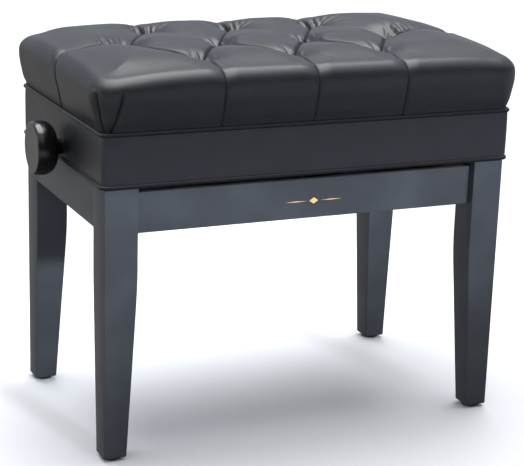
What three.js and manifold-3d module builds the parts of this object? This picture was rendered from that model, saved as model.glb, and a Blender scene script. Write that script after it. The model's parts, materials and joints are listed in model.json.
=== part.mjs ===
// Piano bench: a lacquered leg frame, an upholstered seat that rises over it, and a screw-driven
// scissor lift between the two. Millimetres; +X along the bench, +Y to its rear, +Z up; the origin
// is on the floor under the bench's centre. The seat is drawn at its lowest height.
import * as THREE from 'three';
import { mergeVertices } from 'three/addons/utils/BufferGeometryUtils.js';
import Module from 'manifold-3d';

const wasm = await Module();
wasm.setup();

// ---- driving dimensions -------------------------------------------------------------------------
const GAP = 0.3;                  // clearance between touching pieces
const ROUND = 20;                 // sides of a round piece

// leg frame
const FRAME_X = 265;              // half length over the legs
const FRAME_Y = 156.5;            // half depth over the legs
const FRAME_TOP = 335;            // top of the legs and end rails
const LEG = 41;                   // leg section above the taper
const LEG_FOOT = 28.7;            // leg section at the foot
const TAPER_TOP = 239;            // where the inner faces start to run in
const TAPER_CURVE = 48;           // height over which the taper eases in
const LEG_FLAT = 10;              // flattened inner corner, along each face
const GLIDE_RADIUS = 12;
const GLIDE_HEIGHT = 4;
const RAIL = 18;                  // thickness of the aprons and end rails
const APRON_SETBACK = 10;
const APRON_BOTTOM = 278.5;
const APRON_TOP = 327.5;
const END_RAIL_BOTTOM = 282;

// corner joints
const BLOCK = 18;                 // block thickness along the diagonal
const BLOCK_BOTTOM = 288;
const BLOCK_HEIGHT = 33;
const BOLT_RADIUS = 4;
const BOLT_IN_LEG = 28;
const BOLT_Z = 304.5;

// seat
const SEAT_X = 268;               // half length of the covered band
const SEAT_Y = 159.5;             // half depth of the covered band
const BAND_BOTTOM = 338;
const BAND_TOP = 398;
const BAND_BOARD = 14;
const BAND_CORNER = 8;
const COVER = 1;                  // vinyl thickness
const PIPING_OUT = 2.8;           // how far the piping stands proud
const PIPING_HIGH = 5;
const SEAT_BOARD = 12;
const CUSHION_CORNER = 26;

// lift
const ARM_LENGTH = 390;           // pivot to pivot
const ARM_HEIGHT = 20;
const ARM_THICK = 4;
const ARM_A_Y = 55;               // inner face of the lifting arms
const ARM_B_Y = 60.5;             // inner face of the crossing arms
const RAIL_Y = 66;                // inner face of the lift's rails
const STEEL = 3;                  // sheet thickness of the lift's rails
const PIVOT_X = -190;             // both left pivots
const PIVOT_Z = 305;              // lower left pivot
const SPINDLE_Z = 353;            // spindle, nut bar and upper left pivots
const PIN_RADIUS = 4;
const SEAT_TRAVEL = 80;
const SPINDLE_RADIUS = 7;
const SPINDLE_HALF = 287;
const BRACKET_X = 230;            // inner face of the bearing brackets
const KNOB_FACE = 305;            // outer face of the knobs
const KNOB_RADIUS = 33;
const KNOB_BACK = 28;             // depth of the knob's broad part, before its neck
const KNOB_ROUND = 15;            // radius of its rounded back edge

const RISE = SPINDLE_Z - PIVOT_Z;
const REACH = Math.sqrt(ARM_LENGTH ** 2 - RISE ** 2);
const REACH_RAISED = Math.sqrt(ARM_LENGTH ** 2 - (RISE + SEAT_TRAVEL) ** 2);
const ARM_TILT = Math.asin(RISE / ARM_LENGTH);
const NUT_X = PIVOT_X + REACH;
const NUT_X_RAISED = PIVOT_X + REACH_RAISED;
const BOARD_BOTTOM = BAND_TOP - SEAT_BOARD;

// ---- finishes -----------------------------------------------------------------------------------
const FINISHES = {
  lacquer: { color: 0x2b2d31, roughness: 0.35, metalness: 0 },
  vinyl: { color: 0x2a2b2f, roughness: 0.45, metalness: 0 },
  plywood: { color: 0xb89a6a, roughness: 0.8, metalness: 0 },
  black_steel: { color: 0x1c1c1e, roughness: 0.5, metalness: 0.3 },
  bright_steel: { color: 0xb9bcc0, roughness: 0.35, metalness: 1 },
  brass: { color: 0xb98d3c, roughness: 0.35, metalness: 1 },
  knob: { color: 0x0a0a0b, roughness: 0.12, metalness: 0 },
  nylon: { color: 0x202022, roughness: 0.6, metalness: 0 },
};

const bench = new THREE.Group();

// Puts a named piece of one finish into a group.
function add(group, name, geometry, finish) {
  const mesh = new THREE.Mesh(geometry, new THREE.MeshStandardMaterial(FINISHES[finish]));
  mesh.name = name;
  group.add(mesh);
  return mesh;
}

// ---- shapes -------------------------------------------------------------------------------------
// A box between two corners.
function box(x0, x1, y0, y1, z0, z1) {
  const geometry = new THREE.BoxGeometry(x1 - x0, y1 - y0, z1 - z0);
  return geometry.translate((x0 + x1) / 2, (y0 + y1) / 2, (z0 + z1) / 2);
}

// A flat outline raised from z0 by a height.
function raised(shape, z0, height) {
  const geometry = new THREE.ExtrudeGeometry(shape, { depth: height, bevelEnabled: false, curveSegments: 4 });
  return geometry.translate(0, 0, z0);
}

function outline(points) {
  return new THREE.Shape(points.map(([x, y]) => new THREE.Vector2(x, y)));
}

// A rectangle with rounded corners, centred on the origin.
function roundedRectangle(halfX, halfY, radius) {
  const shape = new THREE.Shape();
  shape.absarc(halfX - radius, halfY - radius, radius, 0, Math.PI / 2);
  shape.absarc(radius - halfX, halfY - radius, radius, Math.PI / 2, Math.PI);
  shape.absarc(radius - halfX, radius - halfY, radius, Math.PI, 1.5 * Math.PI);
  shape.absarc(halfX - radius, radius - halfY, radius, 1.5 * Math.PI, 2 * Math.PI);
  shape.closePath();
  return shape;
}

// A round bar along 'x', 'y' or 'z', from one end to the other.
function bar(axis, radius, start, end, sides = ROUND) {
  const geometry = new THREE.CylinderGeometry(radius, radius, end - start, sides);
  geometry.translate(0, (start + end) / 2, 0);
  if (axis === 'x') geometry.rotateZ(-Math.PI / 2);
  if (axis === 'z') geometry.rotateX(Math.PI / 2);
  return geometry;
}

// A closed geometry as a solid that can be joined and cut.
function solid(geometry) {
  const bare = geometry.clone();
  bare.deleteAttribute('normal');
  bare.deleteAttribute('uv');
  const merged = mergeVertices(bare, 1e-4);
  const mesh = new wasm.Mesh({
    numProp: 3,
    vertProperties: new Float32Array(merged.attributes.position.array),
    triVerts: new Uint32Array(merged.index.array),
  });
  return new wasm.Manifold(mesh);
}

function geometryOf(body) {
  const mesh = body.getMesh();
  const geometry = new THREE.BufferGeometry();
  geometry.setAttribute('position', new THREE.BufferAttribute(new Float32Array(mesh.vertProperties), 3));
  geometry.setIndex(new THREE.BufferAttribute(new Uint32Array(mesh.triVerts), 1));
  return geometry;
}

// The first geometry joined to the rest, and a geometry with others cut out of it.
function join(first, ...others) {
  return geometryOf(others.reduce((body, other) => body.add(solid(other)), solid(first)));
}

function cut(base, ...tools) {
  return geometryOf(tools.reduce((body, tool) => body.subtract(solid(tool)), solid(base)));
}

// A slot with round ends through a plate that faces Y, between two x at one z.
function slotTool(x0, x1, z, radius, y0, y1) {
  return join(
    bar('y', radius, y0, y1).translate(x0, 0, z),
    bar('y', radius, y0, y1).translate(x1, 0, z),
    box(x0, x1, y0, y1, z - radius * 0.999, z + radius * 0.999),
  );
}

// Mirrors a geometry front to back, turning its faces out again.
function mirroredY(geometry) {
  const flipped = geometry.clone().scale(1, -1, 1);
  const plain = flipped.index ? flipped.toNonIndexed() : flipped;
  const position = plain.attributes.position;
  for (let corner = 0; corner < position.count; corner += 3) {
    const [x, y, z] = [position.getX(corner), position.getY(corner), position.getZ(corner)];
    position.setXYZ(corner, position.getX(corner + 1), position.getY(corner + 1), position.getZ(corner + 1));
    position.setXYZ(corner + 1, x, y, z);
  }
  return plain;
}

// Adds a piece drawn at the rear (+Y) and its mirror image at the front.
function addPair(group, name, geometry, finish) {
  add(group, `${name}_rear`, geometry, finish);
  add(group, `${name}_front`, mirroredY(geometry), finish);
}

// Skins a stack of level outlines, each a list of [x, y] with the same count, anticlockwise.
function lofted(levels) {
  const count = levels[0].points.length;
  const positions = levels.flatMap(({ points, z }) => points.flatMap(([x, y]) => [x, y, z]));
  const faces = [];
  for (let level = 0; level < levels.length - 1; level += 1) {
    for (let side = 0; side < count; side += 1) {
      const [a, b] = [level * count + side, level * count + ((side + 1) % count)];
      faces.push(a, b, b + count, a, b + count, a + count);
    }
  }
  const top = (levels.length - 1) * count;
  for (let side = 1; side < count - 1; side += 1) {
    faces.push(0, side + 1, side);
    faces.push(top, top + side, top + side + 1);
  }
  const geometry = new THREE.BufferGeometry();
  geometry.setAttribute('position', new THREE.Float32BufferAttribute(positions, 3));
  geometry.setIndex(faces);
  return geometry;
}

// ---- leg frame ----------------------------------------------------------------------------------
// Leg section at a height: straight at the top, then an eased start into a straight taper.
function legSize(z) {
  const slope = (LEG - LEG_FOOT) / (TAPER_TOP - TAPER_CURVE / 2 - GLIDE_HEIGHT);
  const below = Math.max(0, TAPER_TOP - z);
  const eased = below < TAPER_CURVE ? below ** 2 / (2 * TAPER_CURVE) : below - TAPER_CURVE / 2;
  return LEG - slope * eased;
}

// One leg with its outer corner on the z axis and its inner faces towards +X and +Y.
function legGeometry() {
  const steps = [0, 0.25, 0.5, 0.75, 1].map((part) => TAPER_TOP - part * TAPER_CURVE).reverse();
  const heights = [GLIDE_HEIGHT, ...steps, FRAME_TOP];
  const post = lofted(heights.map((z) => {
    const size = legSize(z);
    return { z, points: [[0, 0], [size, 0], [size, size], [0, size]] };
  }));
  const corner = LEG * Math.SQRT2;
  const flat = corner - LEG_FLAT / Math.SQRT2;
  const runOut = outline([
    [flat, FRAME_TOP + 1], [flat, APRON_BOTTOM], [corner + 1, APRON_BOTTOM - 8], [corner + 1, FRAME_TOP + 1],
  ]);
  const width = 2 * LEG_FLAT;
  const flattening = raised(runOut, -width / 2, width).rotateX(Math.PI / 2).rotateZ(Math.PI / 4);
  const hole = bar('x', BOLT_RADIUS + GAP, flat - BOLT_IN_LEG - GAP, flat + 5)
    .translate(0, 0, BOLT_Z)
    .rotateZ(Math.PI / 4);
  return cut(post, flattening, hole);
}

// A block across the frame's corner, outer faces on the apron, the end rail and the leg's flat.
function blockGeometry() {
  const apronFace = APRON_SETBACK + RAIL;
  const endFace = RAIL;
  const outer = 2 * LEG - LEG_FLAT + 2 * GAP;
  const inner = outer + BLOCK * Math.SQRT2;
  const plan = outline([
    [outer - apronFace, apronFace], [inner - apronFace, apronFace],
    [endFace, inner - endFace], [endFace, outer - endFace],
  ]);
  const hole = bar('x', BOLT_RADIUS + GAP, 0, 200).translate(0, 0, BOLT_Z).rotateZ(Math.PI / 4);
  return cut(raised(plan, BLOCK_BOTTOM, BLOCK_HEIGHT), hole);
}

// A hexagon bolt with its washer, along the corner's diagonal.
function boltGeometry() {
  const flat = LEG * Math.SQRT2 - LEG_FLAT / Math.SQRT2;
  const seatFace = flat + 2 * GAP / Math.SQRT2 + BLOCK + GAP;
  const washer = bar('x', 9, seatFace, seatFace + 1.6);
  const shank = bar('x', BOLT_RADIUS, flat - BOLT_IN_LEG, seatFace + 1, 20);
  const head = bar('x', 7.5, seatFace + 1.5, seatFace + 7, 6);
  return join(shank, washer, head).translate(0, 0, BOLT_Z).rotateZ(Math.PI / 4);
}

// The frame's four corners, each with its outer corner's place, its turn and whether it is mirrored.
function addCorners(group) {
  const corners = {
    front_left: { x: -FRAME_X, y: -FRAME_Y, turn: 0, mirrored: false },
    front_right: { x: FRAME_X, y: -FRAME_Y, turn: Math.PI, mirrored: true },
    rear_right: { x: FRAME_X, y: FRAME_Y, turn: Math.PI, mirrored: false },
    rear_left: { x: -FRAME_X, y: FRAME_Y, turn: 0, mirrored: true },
  };
  for (const [name, { x, y, turn, mirrored }] of Object.entries(corners)) {
    const corner = new THREE.Group();
    corner.position.set(x, y, 0);
    corner.rotation.z = turn;
    group.add(corner);
    const placed = (geometry) => (mirrored ? mirroredY(geometry) : geometry);
    const glide = bar('z', GLIDE_RADIUS, 0, GLIDE_HEIGHT).translate(LEG_FOOT / 2, LEG_FOOT / 2, 0);
    add(corner, `leg_${name}`, placed(legGeometry()), 'lacquer');
    add(corner, `glide_${name}`, placed(glide), 'nylon');
    add(corner, `corner_block_${name}`, placed(blockGeometry()), 'plywood');
    add(corner, `leg_bolt_${name}`, placed(boltGeometry()), 'bright_steel');
  }
}

function addRails(group) {
  const apronX = FRAME_X - LEG;
  const apronY = FRAME_Y - APRON_SETBACK;
  const endY = FRAME_Y - LEG;
  add(group, 'apron_front', box(-apronX, apronX, -apronY, RAIL - apronY, APRON_BOTTOM, APRON_TOP), 'lacquer');
  add(group, 'apron_rear', box(-apronX, apronX, apronY - RAIL, apronY, APRON_BOTTOM, APRON_TOP), 'lacquer');
  const left = box(-FRAME_X, RAIL - FRAME_X, -endY, endY, END_RAIL_BOTTOM, FRAME_TOP);
  const right = box(FRAME_X - RAIL, FRAME_X, -endY, endY, END_RAIL_BOTTOM, FRAME_TOP);
  add(group, 'end_rail_left', left, 'lacquer');
  add(group, 'end_rail_right', right, 'lacquer');
}

// ---- lift: lower frame --------------------------------------------------------------------------
// An angle rail with a tab at each end for screwing to the end rails, and a slot for the roller.
function baseRailGeometry() {
  const end = FRAME_X - RAIL;
  const [bottom, top] = [PIVOT_Z - 15, PIVOT_Z + 12];
  const web = box(-end + 0.5, end - 0.5, RAIL_Y, RAIL_Y + STEEL, bottom, top);
  const flange = box(-end + 0.5, end - 0.5, RAIL_Y + 1, RAIL_Y + 9, bottom, bottom + STEEL);
  const tab = box(-end, STEEL - end, RAIL_Y - 24, RAIL_Y + 1, bottom, top);
  const farTab = box(end - STEEL, end, RAIL_Y - 24, RAIL_Y + 1, bottom, top);
  const [front, back] = [RAIL_Y - 5, RAIL_Y + STEEL + 5];
  const pivotHole = bar('y', PIN_RADIUS + GAP, front, back).translate(PIVOT_X, 0, PIVOT_Z);
  const rollerSlot = slotTool(NUT_X_RAISED - 4, NUT_X + 3, PIVOT_Z, 6.9, front, back);
  return cut(join(web, flange, tab, farTab), pivotHole, rollerSlot);
}

function addLowerFrame(group) {
  addPair(group, 'base_rail', baseRailGeometry(), 'black_steel');
  const top = PIVOT_Z - 15;
  const half = RAIL_Y + 9;
  for (const [side, x] of [['left', -225], ['right', 205]]) {
    add(group, `cross_tie_${side}`, box(x, x + 20, -half, half, top - STEEL, top), 'black_steel');
  }
  const shaft = bar('y', PIN_RADIUS, -RAIL_Y - 6, RAIL_Y + 6).translate(PIVOT_X, 0, PIVOT_Z);
  add(group, 'lower_pivot_shaft', shaft, 'bright_steel');
}

// ---- lift: arms ---------------------------------------------------------------------------------
// A flat arm from the left pivot at the origin, with its eyes and centre hole along +X.
function armGeometry(y0, endSlot) {
  const radius = ARM_HEIGHT / 2;
  const y1 = y0 + ARM_THICK;
  const blank = join(
    bar('y', radius, y0, y1),
    bar('y', radius, y0, y1).translate(ARM_LENGTH, 0, 0),
    box(0, ARM_LENGTH, y0, y1, -radius * 0.999, radius * 0.999),
  );
  const [front, back] = [y0 - 2, y1 + 2];
  const eye = bar('y', PIN_RADIUS + GAP, front, back);
  const centre = bar('y', PIN_RADIUS + 0.9, front, back).translate(ARM_LENGTH / 2, 0, 0);
  const end = slotTool(ARM_LENGTH - endSlot, ARM_LENGTH + endSlot, 0, PIN_RADIUS + 0.9, front, back);
  return cut(blank, eye, centre, end);
}

// A short headed pin along +Y from one y to another.
function pinGeometry(y0, y1) {
  return join(bar('y', PIN_RADIUS, y0, y1), bar('y', PIN_RADIUS + 2, y1, y1 + 2.4));
}

function addLiftingArms(group) {
  const arm = armGeometry(ARM_A_Y, 3).rotateY(-ARM_TILT).translate(PIVOT_X, 0, PIVOT_Z);
  addPair(group, 'lifting_arm', arm, 'black_steel');
  const middle = [PIVOT_X + REACH / 2, 0, PIVOT_Z + RISE / 2];
  const pin = pinGeometry(ARM_A_Y - 1, ARM_B_Y + ARM_THICK + 0.2).translate(...middle);
  const rim = bar('y', PIN_RADIUS + 2, ARM_A_Y - 2.4, ARM_A_Y - GAP).translate(...middle);
  addPair(group, 'centre_pin', join(pin, rim), 'bright_steel');
}

function addCrossingArms(group) {
  const arm = armGeometry(ARM_B_Y, 0.5).rotateY(ARM_TILT).translate(PIVOT_X, 0, SPINDLE_Z);
  addPair(group, 'crossing_arm', arm, 'black_steel');
}

// The shaft through the arms' lower right eyes, and the rollers that run in the base rails' slots.
function addRollers(group) {
  const shaft = bar('y', PIN_RADIUS, -RAIL_Y - 6, RAIL_Y + 6).translate(NUT_X, 0, PIVOT_Z);
  add(group, 'roller_shaft', shaft, 'bright_steel');
  const wheel = cut(
    bar('y', 6, RAIL_Y - 0.7, RAIL_Y + STEEL + 0.7),
    bar('y', PIN_RADIUS + GAP, RAIL_Y - 5, RAIL_Y + STEEL + 5),
  ).translate(NUT_X, 0, PIVOT_Z);
  addPair(group, 'roller', wheel, 'nylon');
}

// ---- lift: upper frame on the seat --------------------------------------------------------------
function upperRailGeometry() {
  const [left, right] = [-212, 222];
  const [bottom, top] = [SPINDLE_Z - 11, BOARD_BOTTOM];
  const web = box(left, right, RAIL_Y, RAIL_Y + STEEL, bottom, top);
  const flange = box(left, right, RAIL_Y + 1, RAIL_Y + 24, top - STEEL, top);
  const [front, back] = [RAIL_Y - 5, RAIL_Y + STEEL + 5];
  const pivotHole = bar('y', PIN_RADIUS + GAP, front, back).translate(PIVOT_X, 0, SPINDLE_Z);
  const barSlot = slotTool(NUT_X_RAISED - 2, NUT_X + 2, SPINDLE_Z, PIN_RADIUS + GAP, front, back);
  return cut(join(web, flange), pivotHole, barSlot);
}

function addUpperFrame(group) {
  addPair(group, 'upper_rail', upperRailGeometry(), 'black_steel');
  const pin = pinGeometry(ARM_B_Y - 0.5, RAIL_Y + STEEL + 0.3).translate(PIVOT_X, 0, SPINDLE_Z);
  addPair(group, 'upper_pivot_pin', pin, 'bright_steel');
  const plate = box(0, 4, -18, 18, SPINDLE_Z - 15, BOARD_BOTTOM);
  const foot = box(1, 22, -18, 18, BOARD_BOTTOM - 4, BOARD_BOTTOM);
  const hole = bar('x', SPINDLE_RADIUS + 0.4, -5, 30).translate(0, 0, SPINDLE_Z);
  const bracket = cut(join(plate, foot), hole);
  add(group, 'bearing_bracket_right', bracket, 'black_steel').position.x = BRACKET_X;
  const left = add(group, 'bearing_bracket_left', bracket.clone(), 'black_steel');
  left.rotation.z = Math.PI;
  left.position.x = -BRACKET_X;
}

// ---- lift: screw --------------------------------------------------------------------------------
// The bar that carries the nut; its ends run in the lifting arms' eyes and the upper rails' slots.
function addNutBar(group) {
  const half = ARM_A_Y - 0.6;
  const beam = box(-9, 9, -half, half, -9, 9);
  const boss = box(-13, 13, -21, 21, -16, 16);
  const trunnions = bar('y', PIN_RADIUS, -RAIL_Y - 6, RAIL_Y + 6);
  const nutHole = bar('x', 11 + GAP, -20, 20);
  const body = cut(join(beam, boss, trunnions), nutHole).translate(NUT_X, 0, SPINDLE_Z);
  add(group, 'nut_bar', body, 'black_steel');
  const nut = join(bar('x', 11, -13, 14), bar('x', 14, 13 + GAP, 16));
  const bored = cut(nut, bar('x', SPINDLE_RADIUS + GAP, -20, 20)).translate(NUT_X, 0, SPINDLE_Z);
  add(group, 'screw_nut', bored, 'brass');
}

// Knob profile along its axis: a broad flat face, a full rim and a shoulder that runs into a neck.
// A broad disc with a slightly dished face and a well rounded back, on a short neck.
function knobGeometry() {
  const face = [[0, 1.2], [24, 0.6], [29.6, 0], [31.4, 1], [32.4, 3.4], [KNOB_RADIUS, 8]];
  const back = [0, 18, 36, 54, 72, 90].map((degrees) => {
    const angle = THREE.MathUtils.degToRad(degrees);
    const radius = KNOB_RADIUS - KNOB_ROUND * (1 - Math.cos(angle));
    return [radius, KNOB_BACK - KNOB_ROUND * (1 - Math.sin(angle))];
  });
  const neck = [[10.6, KNOB_BACK + 1.4], [9.4, KNOB_BACK + 3.4], [9.2, KNOB_FACE - SEAT_X - 0.8]];
  const end = [[0, KNOB_FACE - SEAT_X - 0.8]];
  const points = [...face, ...back, ...neck, ...end].map(([radius, depth]) => new THREE.Vector2(radius, -depth));
  const turned = new THREE.LatheGeometry(points.reverse(), 28).rotateZ(-Math.PI / 2);
  const socket = bar('x', SPINDLE_RADIUS + GAP, SPINDLE_HALF - KNOB_FACE - 40, SPINDLE_HALF - KNOB_FACE + 1);
  return cut(turned, socket);
}

function addSpindle(group) {
  add(group, 'spindle', bar('x', SPINDLE_RADIUS, -SPINDLE_HALF, SPINDLE_HALF), 'bright_steel')
    .position.z = SPINDLE_Z;
  const knob = knobGeometry();
  const collar = cut(bar('x', 12, 4.5, 14), bar('x', SPINDLE_RADIUS + GAP, 0, 20));
  for (const [side, turn, sign] of [['right', 0, 1], ['left', Math.PI, -1]]) {
    const end = new THREE.Group();
    end.rotation.z = turn;
    end.position.z = SPINDLE_Z;
    group.add(end);
    add(end, `knob_${side}`, knob.clone(), 'knob').position.x = KNOB_FACE;
    add(end, `thrust_collar_${side}`, collar.clone(), 'bright_steel').position.x = BRACKET_X;
  }
}

// ---- seat ---------------------------------------------------------------------------------------
// The band's long boards have rounded outer corners; its end boards fit between them.
function addBand(group) {
  const [halfX, halfY] = [SEAT_X - COVER, SEAT_Y - COVER];
  const radius = BAND_CORNER - COVER;
  const height = BAND_TOP - BAND_BOTTOM;
  const plan = new THREE.Shape();
  plan.moveTo(halfX, halfY - BAND_BOARD);
  plan.absarc(halfX - radius, halfY - radius, radius, 0, Math.PI / 2);
  plan.absarc(radius - halfX, halfY - radius, radius, Math.PI / 2, Math.PI);
  plan.lineTo(-halfX, halfY - BAND_BOARD);
  addPair(group, 'band_board', raised(plan, BAND_BOTTOM, height), 'plywood');

  const inner = halfY - BAND_BOARD;
  const spindleHole = bar('x', 10 + GAP, -300, 300).translate(0, 0, SPINDLE_Z);
  const right = cut(box(halfX - BAND_BOARD, halfX, -inner, inner, BAND_BOTTOM, BAND_TOP), spindleHole);
  const left = cut(box(-halfX, BAND_BOARD - halfX, -inner, inner, BAND_BOTTOM, BAND_TOP), spindleHole);
  add(group, 'band_board_right', right, 'plywood');
  add(group, 'band_board_left', left, 'plywood');

  const outside = roundedRectangle(SEAT_X, SEAT_Y, BAND_CORNER);
  const wrap = roundedRectangle(halfX + 0.05, halfY + 0.05, radius);
  outside.holes.push(wrap);
  add(group, 'band_cover', cut(raised(outside, BAND_BOTTOM, height), spindleHole), 'vinyl');

  const bush = cut(bar('x', 10, halfX - BAND_BOARD, SEAT_X + 0.4), bar('x', SPINDLE_RADIUS + 0.4, 0, 300));
  for (const [side, turn] of [['right', 0], ['left', Math.PI]]) {
    const mesh = add(group, `spindle_bush_${side}`, bush.clone(), 'nylon');
    mesh.rotation.z = turn;
    mesh.position.z = SPINDLE_Z;
  }
  const [boardX, boardY] = [halfX - BAND_BOARD, inner];
  add(group, 'seat_board', box(-boardX, boardX, -boardY, boardY, BOARD_BOTTOM, BAND_TOP), 'plywood');
}

// Piping with a D section, flat against the band.
function addPiping(group, name, z) {
  const levels = 3;
  const rings = [];
  for (let step = 0; step <= levels; step += 1) {
    const angle = (step / levels - 0.5) * Math.PI;
    rings.push({ out: PIPING_OUT * Math.cos(angle), z: z + (PIPING_HIGH / 2) * Math.sin(angle) });
  }
  const points = ({ out, z: height }) => ({
    z: height,
    points: roundedRectangle(SEAT_X + 0.15 + out, SEAT_Y + 0.15 + out, BAND_CORNER + out)
      .extractPoints(3).shape.slice(0, -1).map(({ x, y }) => [x, y]),
  });
  const opening = raised(
    roundedRectangle(SEAT_X + 0.1, SEAT_Y + 0.1, BAND_CORNER), z - PIPING_HIGH, 2 * PIPING_HIGH);
  add(group, name, cut(lofted(rings.map(points)), opening), 'vinyl');
}

// The cushion: narrow at the band, fullest half way up, and domed on top.
function addCushion(group) {
  const bottom = BAND_TOP + GAP;
  const sections = [
    [bottom, 0], [bottom + 4.5, 0], [bottom + 12, 5], [bottom + 26, 10], [bottom + 42, 13], [bottom + 58, 12],
    [bottom + 70, 5], [bottom + 79, -12], [bottom + 84, -38], [bottom + 86, -75],
  ];
  const levels = sections.map(([z, out]) => {
    const [halfX, halfY] = [SEAT_X - 0.6 + out, SEAT_Y - 0.6 + out];
    const radius = Math.min(halfY - 5, out < 0 ? CUSHION_CORNER + 12 : BAND_CORNER + out);
    const shape = roundedRectangle(halfX, halfY, radius).extractPoints(4).shape.slice(0, -1);
    return { z, points: shape.map(({ x, y }) => [x, y]) };
  });
  add(group, 'cushion', lofted(levels), 'vinyl');
}

addCorners(bench);
addRails(bench);
addLowerFrame(bench);
addLiftingArms(bench);
addCrossingArms(bench);
addRollers(bench);
addUpperFrame(bench);
addNutBar(bench);
addSpindle(bench);
addBand(bench);
addPiping(bench, 'upper_piping', BAND_TOP + 1.5);
addPiping(bench, 'lower_piping', BAND_BOTTOM + 0.5);
addCushion(bench);

export default bench;
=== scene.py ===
"""Piano bench: the looks of an upholstered bench on a scissor lift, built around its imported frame."""

import json

import bmesh
import bpy
import numpy as np
from bpy.props import FloatProperty, FloatVectorProperty, IntProperty, PointerProperty
from mathutils import Euler, Matrix, Vector


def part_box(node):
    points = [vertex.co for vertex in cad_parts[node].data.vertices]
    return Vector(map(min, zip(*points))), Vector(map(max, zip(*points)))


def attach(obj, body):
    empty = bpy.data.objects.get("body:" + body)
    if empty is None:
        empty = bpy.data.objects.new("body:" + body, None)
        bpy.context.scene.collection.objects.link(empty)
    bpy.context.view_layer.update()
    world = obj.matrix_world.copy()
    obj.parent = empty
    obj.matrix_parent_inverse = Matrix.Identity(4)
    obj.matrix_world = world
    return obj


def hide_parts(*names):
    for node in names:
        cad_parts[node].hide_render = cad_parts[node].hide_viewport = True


bl_info = {
    "name": "Piano bench",
    "version": (1, 0, 0),
    "blender": (4, 5, 0),
    "location": "View3D > Sidebar > Bench",
    "description": "Builds the cushion, joinery, hardware and finishes of an adjustable piano bench",
    "category": "Add Mesh",
}

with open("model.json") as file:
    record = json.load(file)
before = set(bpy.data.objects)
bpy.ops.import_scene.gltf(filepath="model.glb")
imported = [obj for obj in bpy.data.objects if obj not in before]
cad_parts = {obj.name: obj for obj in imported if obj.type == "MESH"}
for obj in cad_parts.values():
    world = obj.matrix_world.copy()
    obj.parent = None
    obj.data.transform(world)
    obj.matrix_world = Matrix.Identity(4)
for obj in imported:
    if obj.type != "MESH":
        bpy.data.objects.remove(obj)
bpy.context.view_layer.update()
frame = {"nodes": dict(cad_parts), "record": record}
MM = 0.001


def extent(node):
    """A CAD node's lowest and highest corners, as numpy arrays in metres."""
    low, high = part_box(node)
    return np.array(low), np.array(high)


BAND_LOW, BAND_HIGH = extent("band_cover")
BAND_X, BAND_Y = BAND_HIGH[0], BAND_HIGH[1]
LEG_LOW, LEG_HIGH = extent("leg_front_right")
JOINT_BOTTOM = extent("end_rail_left")[0][2]      # the end rails' lower edge, where the legs' joints begin


# ---- sizes and colours a user would change ------------------------------------------------------
def length(name, description, default):
    """A length property in metres."""
    return FloatProperty(name=name, description=description, default=default, unit="LENGTH", precision=5)


def colour(name, description, default):
    """A linear colour property."""
    return FloatVectorProperty(
        name=name, description=description, default=default, subtype="COLOR", size=3, min=0, max=1)


def degrees(name, description, default):
    """An angle property, its default given in degrees."""
    return FloatProperty(name=name, description=description, default=np.radians(default), subtype="ANGLE")


def watts(name, description, default):
    """A lamp's power in watts."""
    return FloatProperty(name=name, description=description, default=default, min=0, unit="POWER")


class BenchUpholstery(bpy.types.PropertyGroup):
    """Sizes and colour of the cushion, band and piping."""

    cell: length("Mesh cell", "Spacing of the cushion's surface points", 1.5 * MM)
    tuft_spacing: length("Tuft spacing", "Distance between tufts along a row", 119 * MM)
    tuft_shift: length("Tuft shift", "How far the tuft pattern sits off the middle", -5 * MM)
    row_spacing: length("Row spacing", "Distance between rows of tufts", 97 * MM)
    pillow: length("Pillow height", "Depth of the folds between pillows", 13 * MM)
    tuft_depth: length("Tuft depth", "How much deeper a tuft lies than its folds", 9 * MM)
    gathers: IntProperty(name="Gathers", description="Small folds round each tuft", default=17, min=0)
    gather_height: length("Gather height", "Height of the small folds round a tuft", 2.0 * MM)
    piping_radius: length("Piping radius", "Radius of the piping roll", 2.6 * MM)
    vinyl: colour("Vinyl", "Colour of the upholstery", (0.0095, 0.0100, 0.0122))


class BenchJoinery(bpy.types.PropertyGroup):
    """Sizes and colours of the woodwork."""

    arris: length("Arris", "Radius of the legs' softened edges", 1.3 * MM)
    taper_top: length("Taper start", "Height where the legs begin to taper", 239 * MM)
    taper_curve: length("Taper curve", "Height over which the taper eases in", 48 * MM)
    foot: length("Foot size", "Leg section at the floor", 28.7 * MM)
    flat: length("Inner flat", "Flattened inner corner of the legs, along each face", 10 * MM)
    lacquer: colour("Lacquer", "Colour of the lacquered wood", (0.0305, 0.0335, 0.0385))
    ply: colour("Plywood", "Colour of the bare plywood", (0.50, 0.35, 0.20))


class BenchHardware(bpy.types.PropertyGroup):
    """Sizes and colours of the knobs and the lift."""

    thread_lead: length("Thread lead", "Travel of the nut in one turn", 2 * MM)
    thread_depth: length("Thread depth", "Depth of the spindle's thread", 0.9 * MM)
    knob: colour("Knob", "Colour of the knobs", (0.003, 0.003, 0.0035))
    steel: colour("Steel", "Colour of the bright steel", (0.56, 0.57, 0.59))
    paint: colour("Steel paint", "Colour of the painted lift parts", (0.012, 0.012, 0.013))
    brass: colour("Brass", "Colour of the nut and the inlay", (0.72, 0.50, 0.20))


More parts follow.
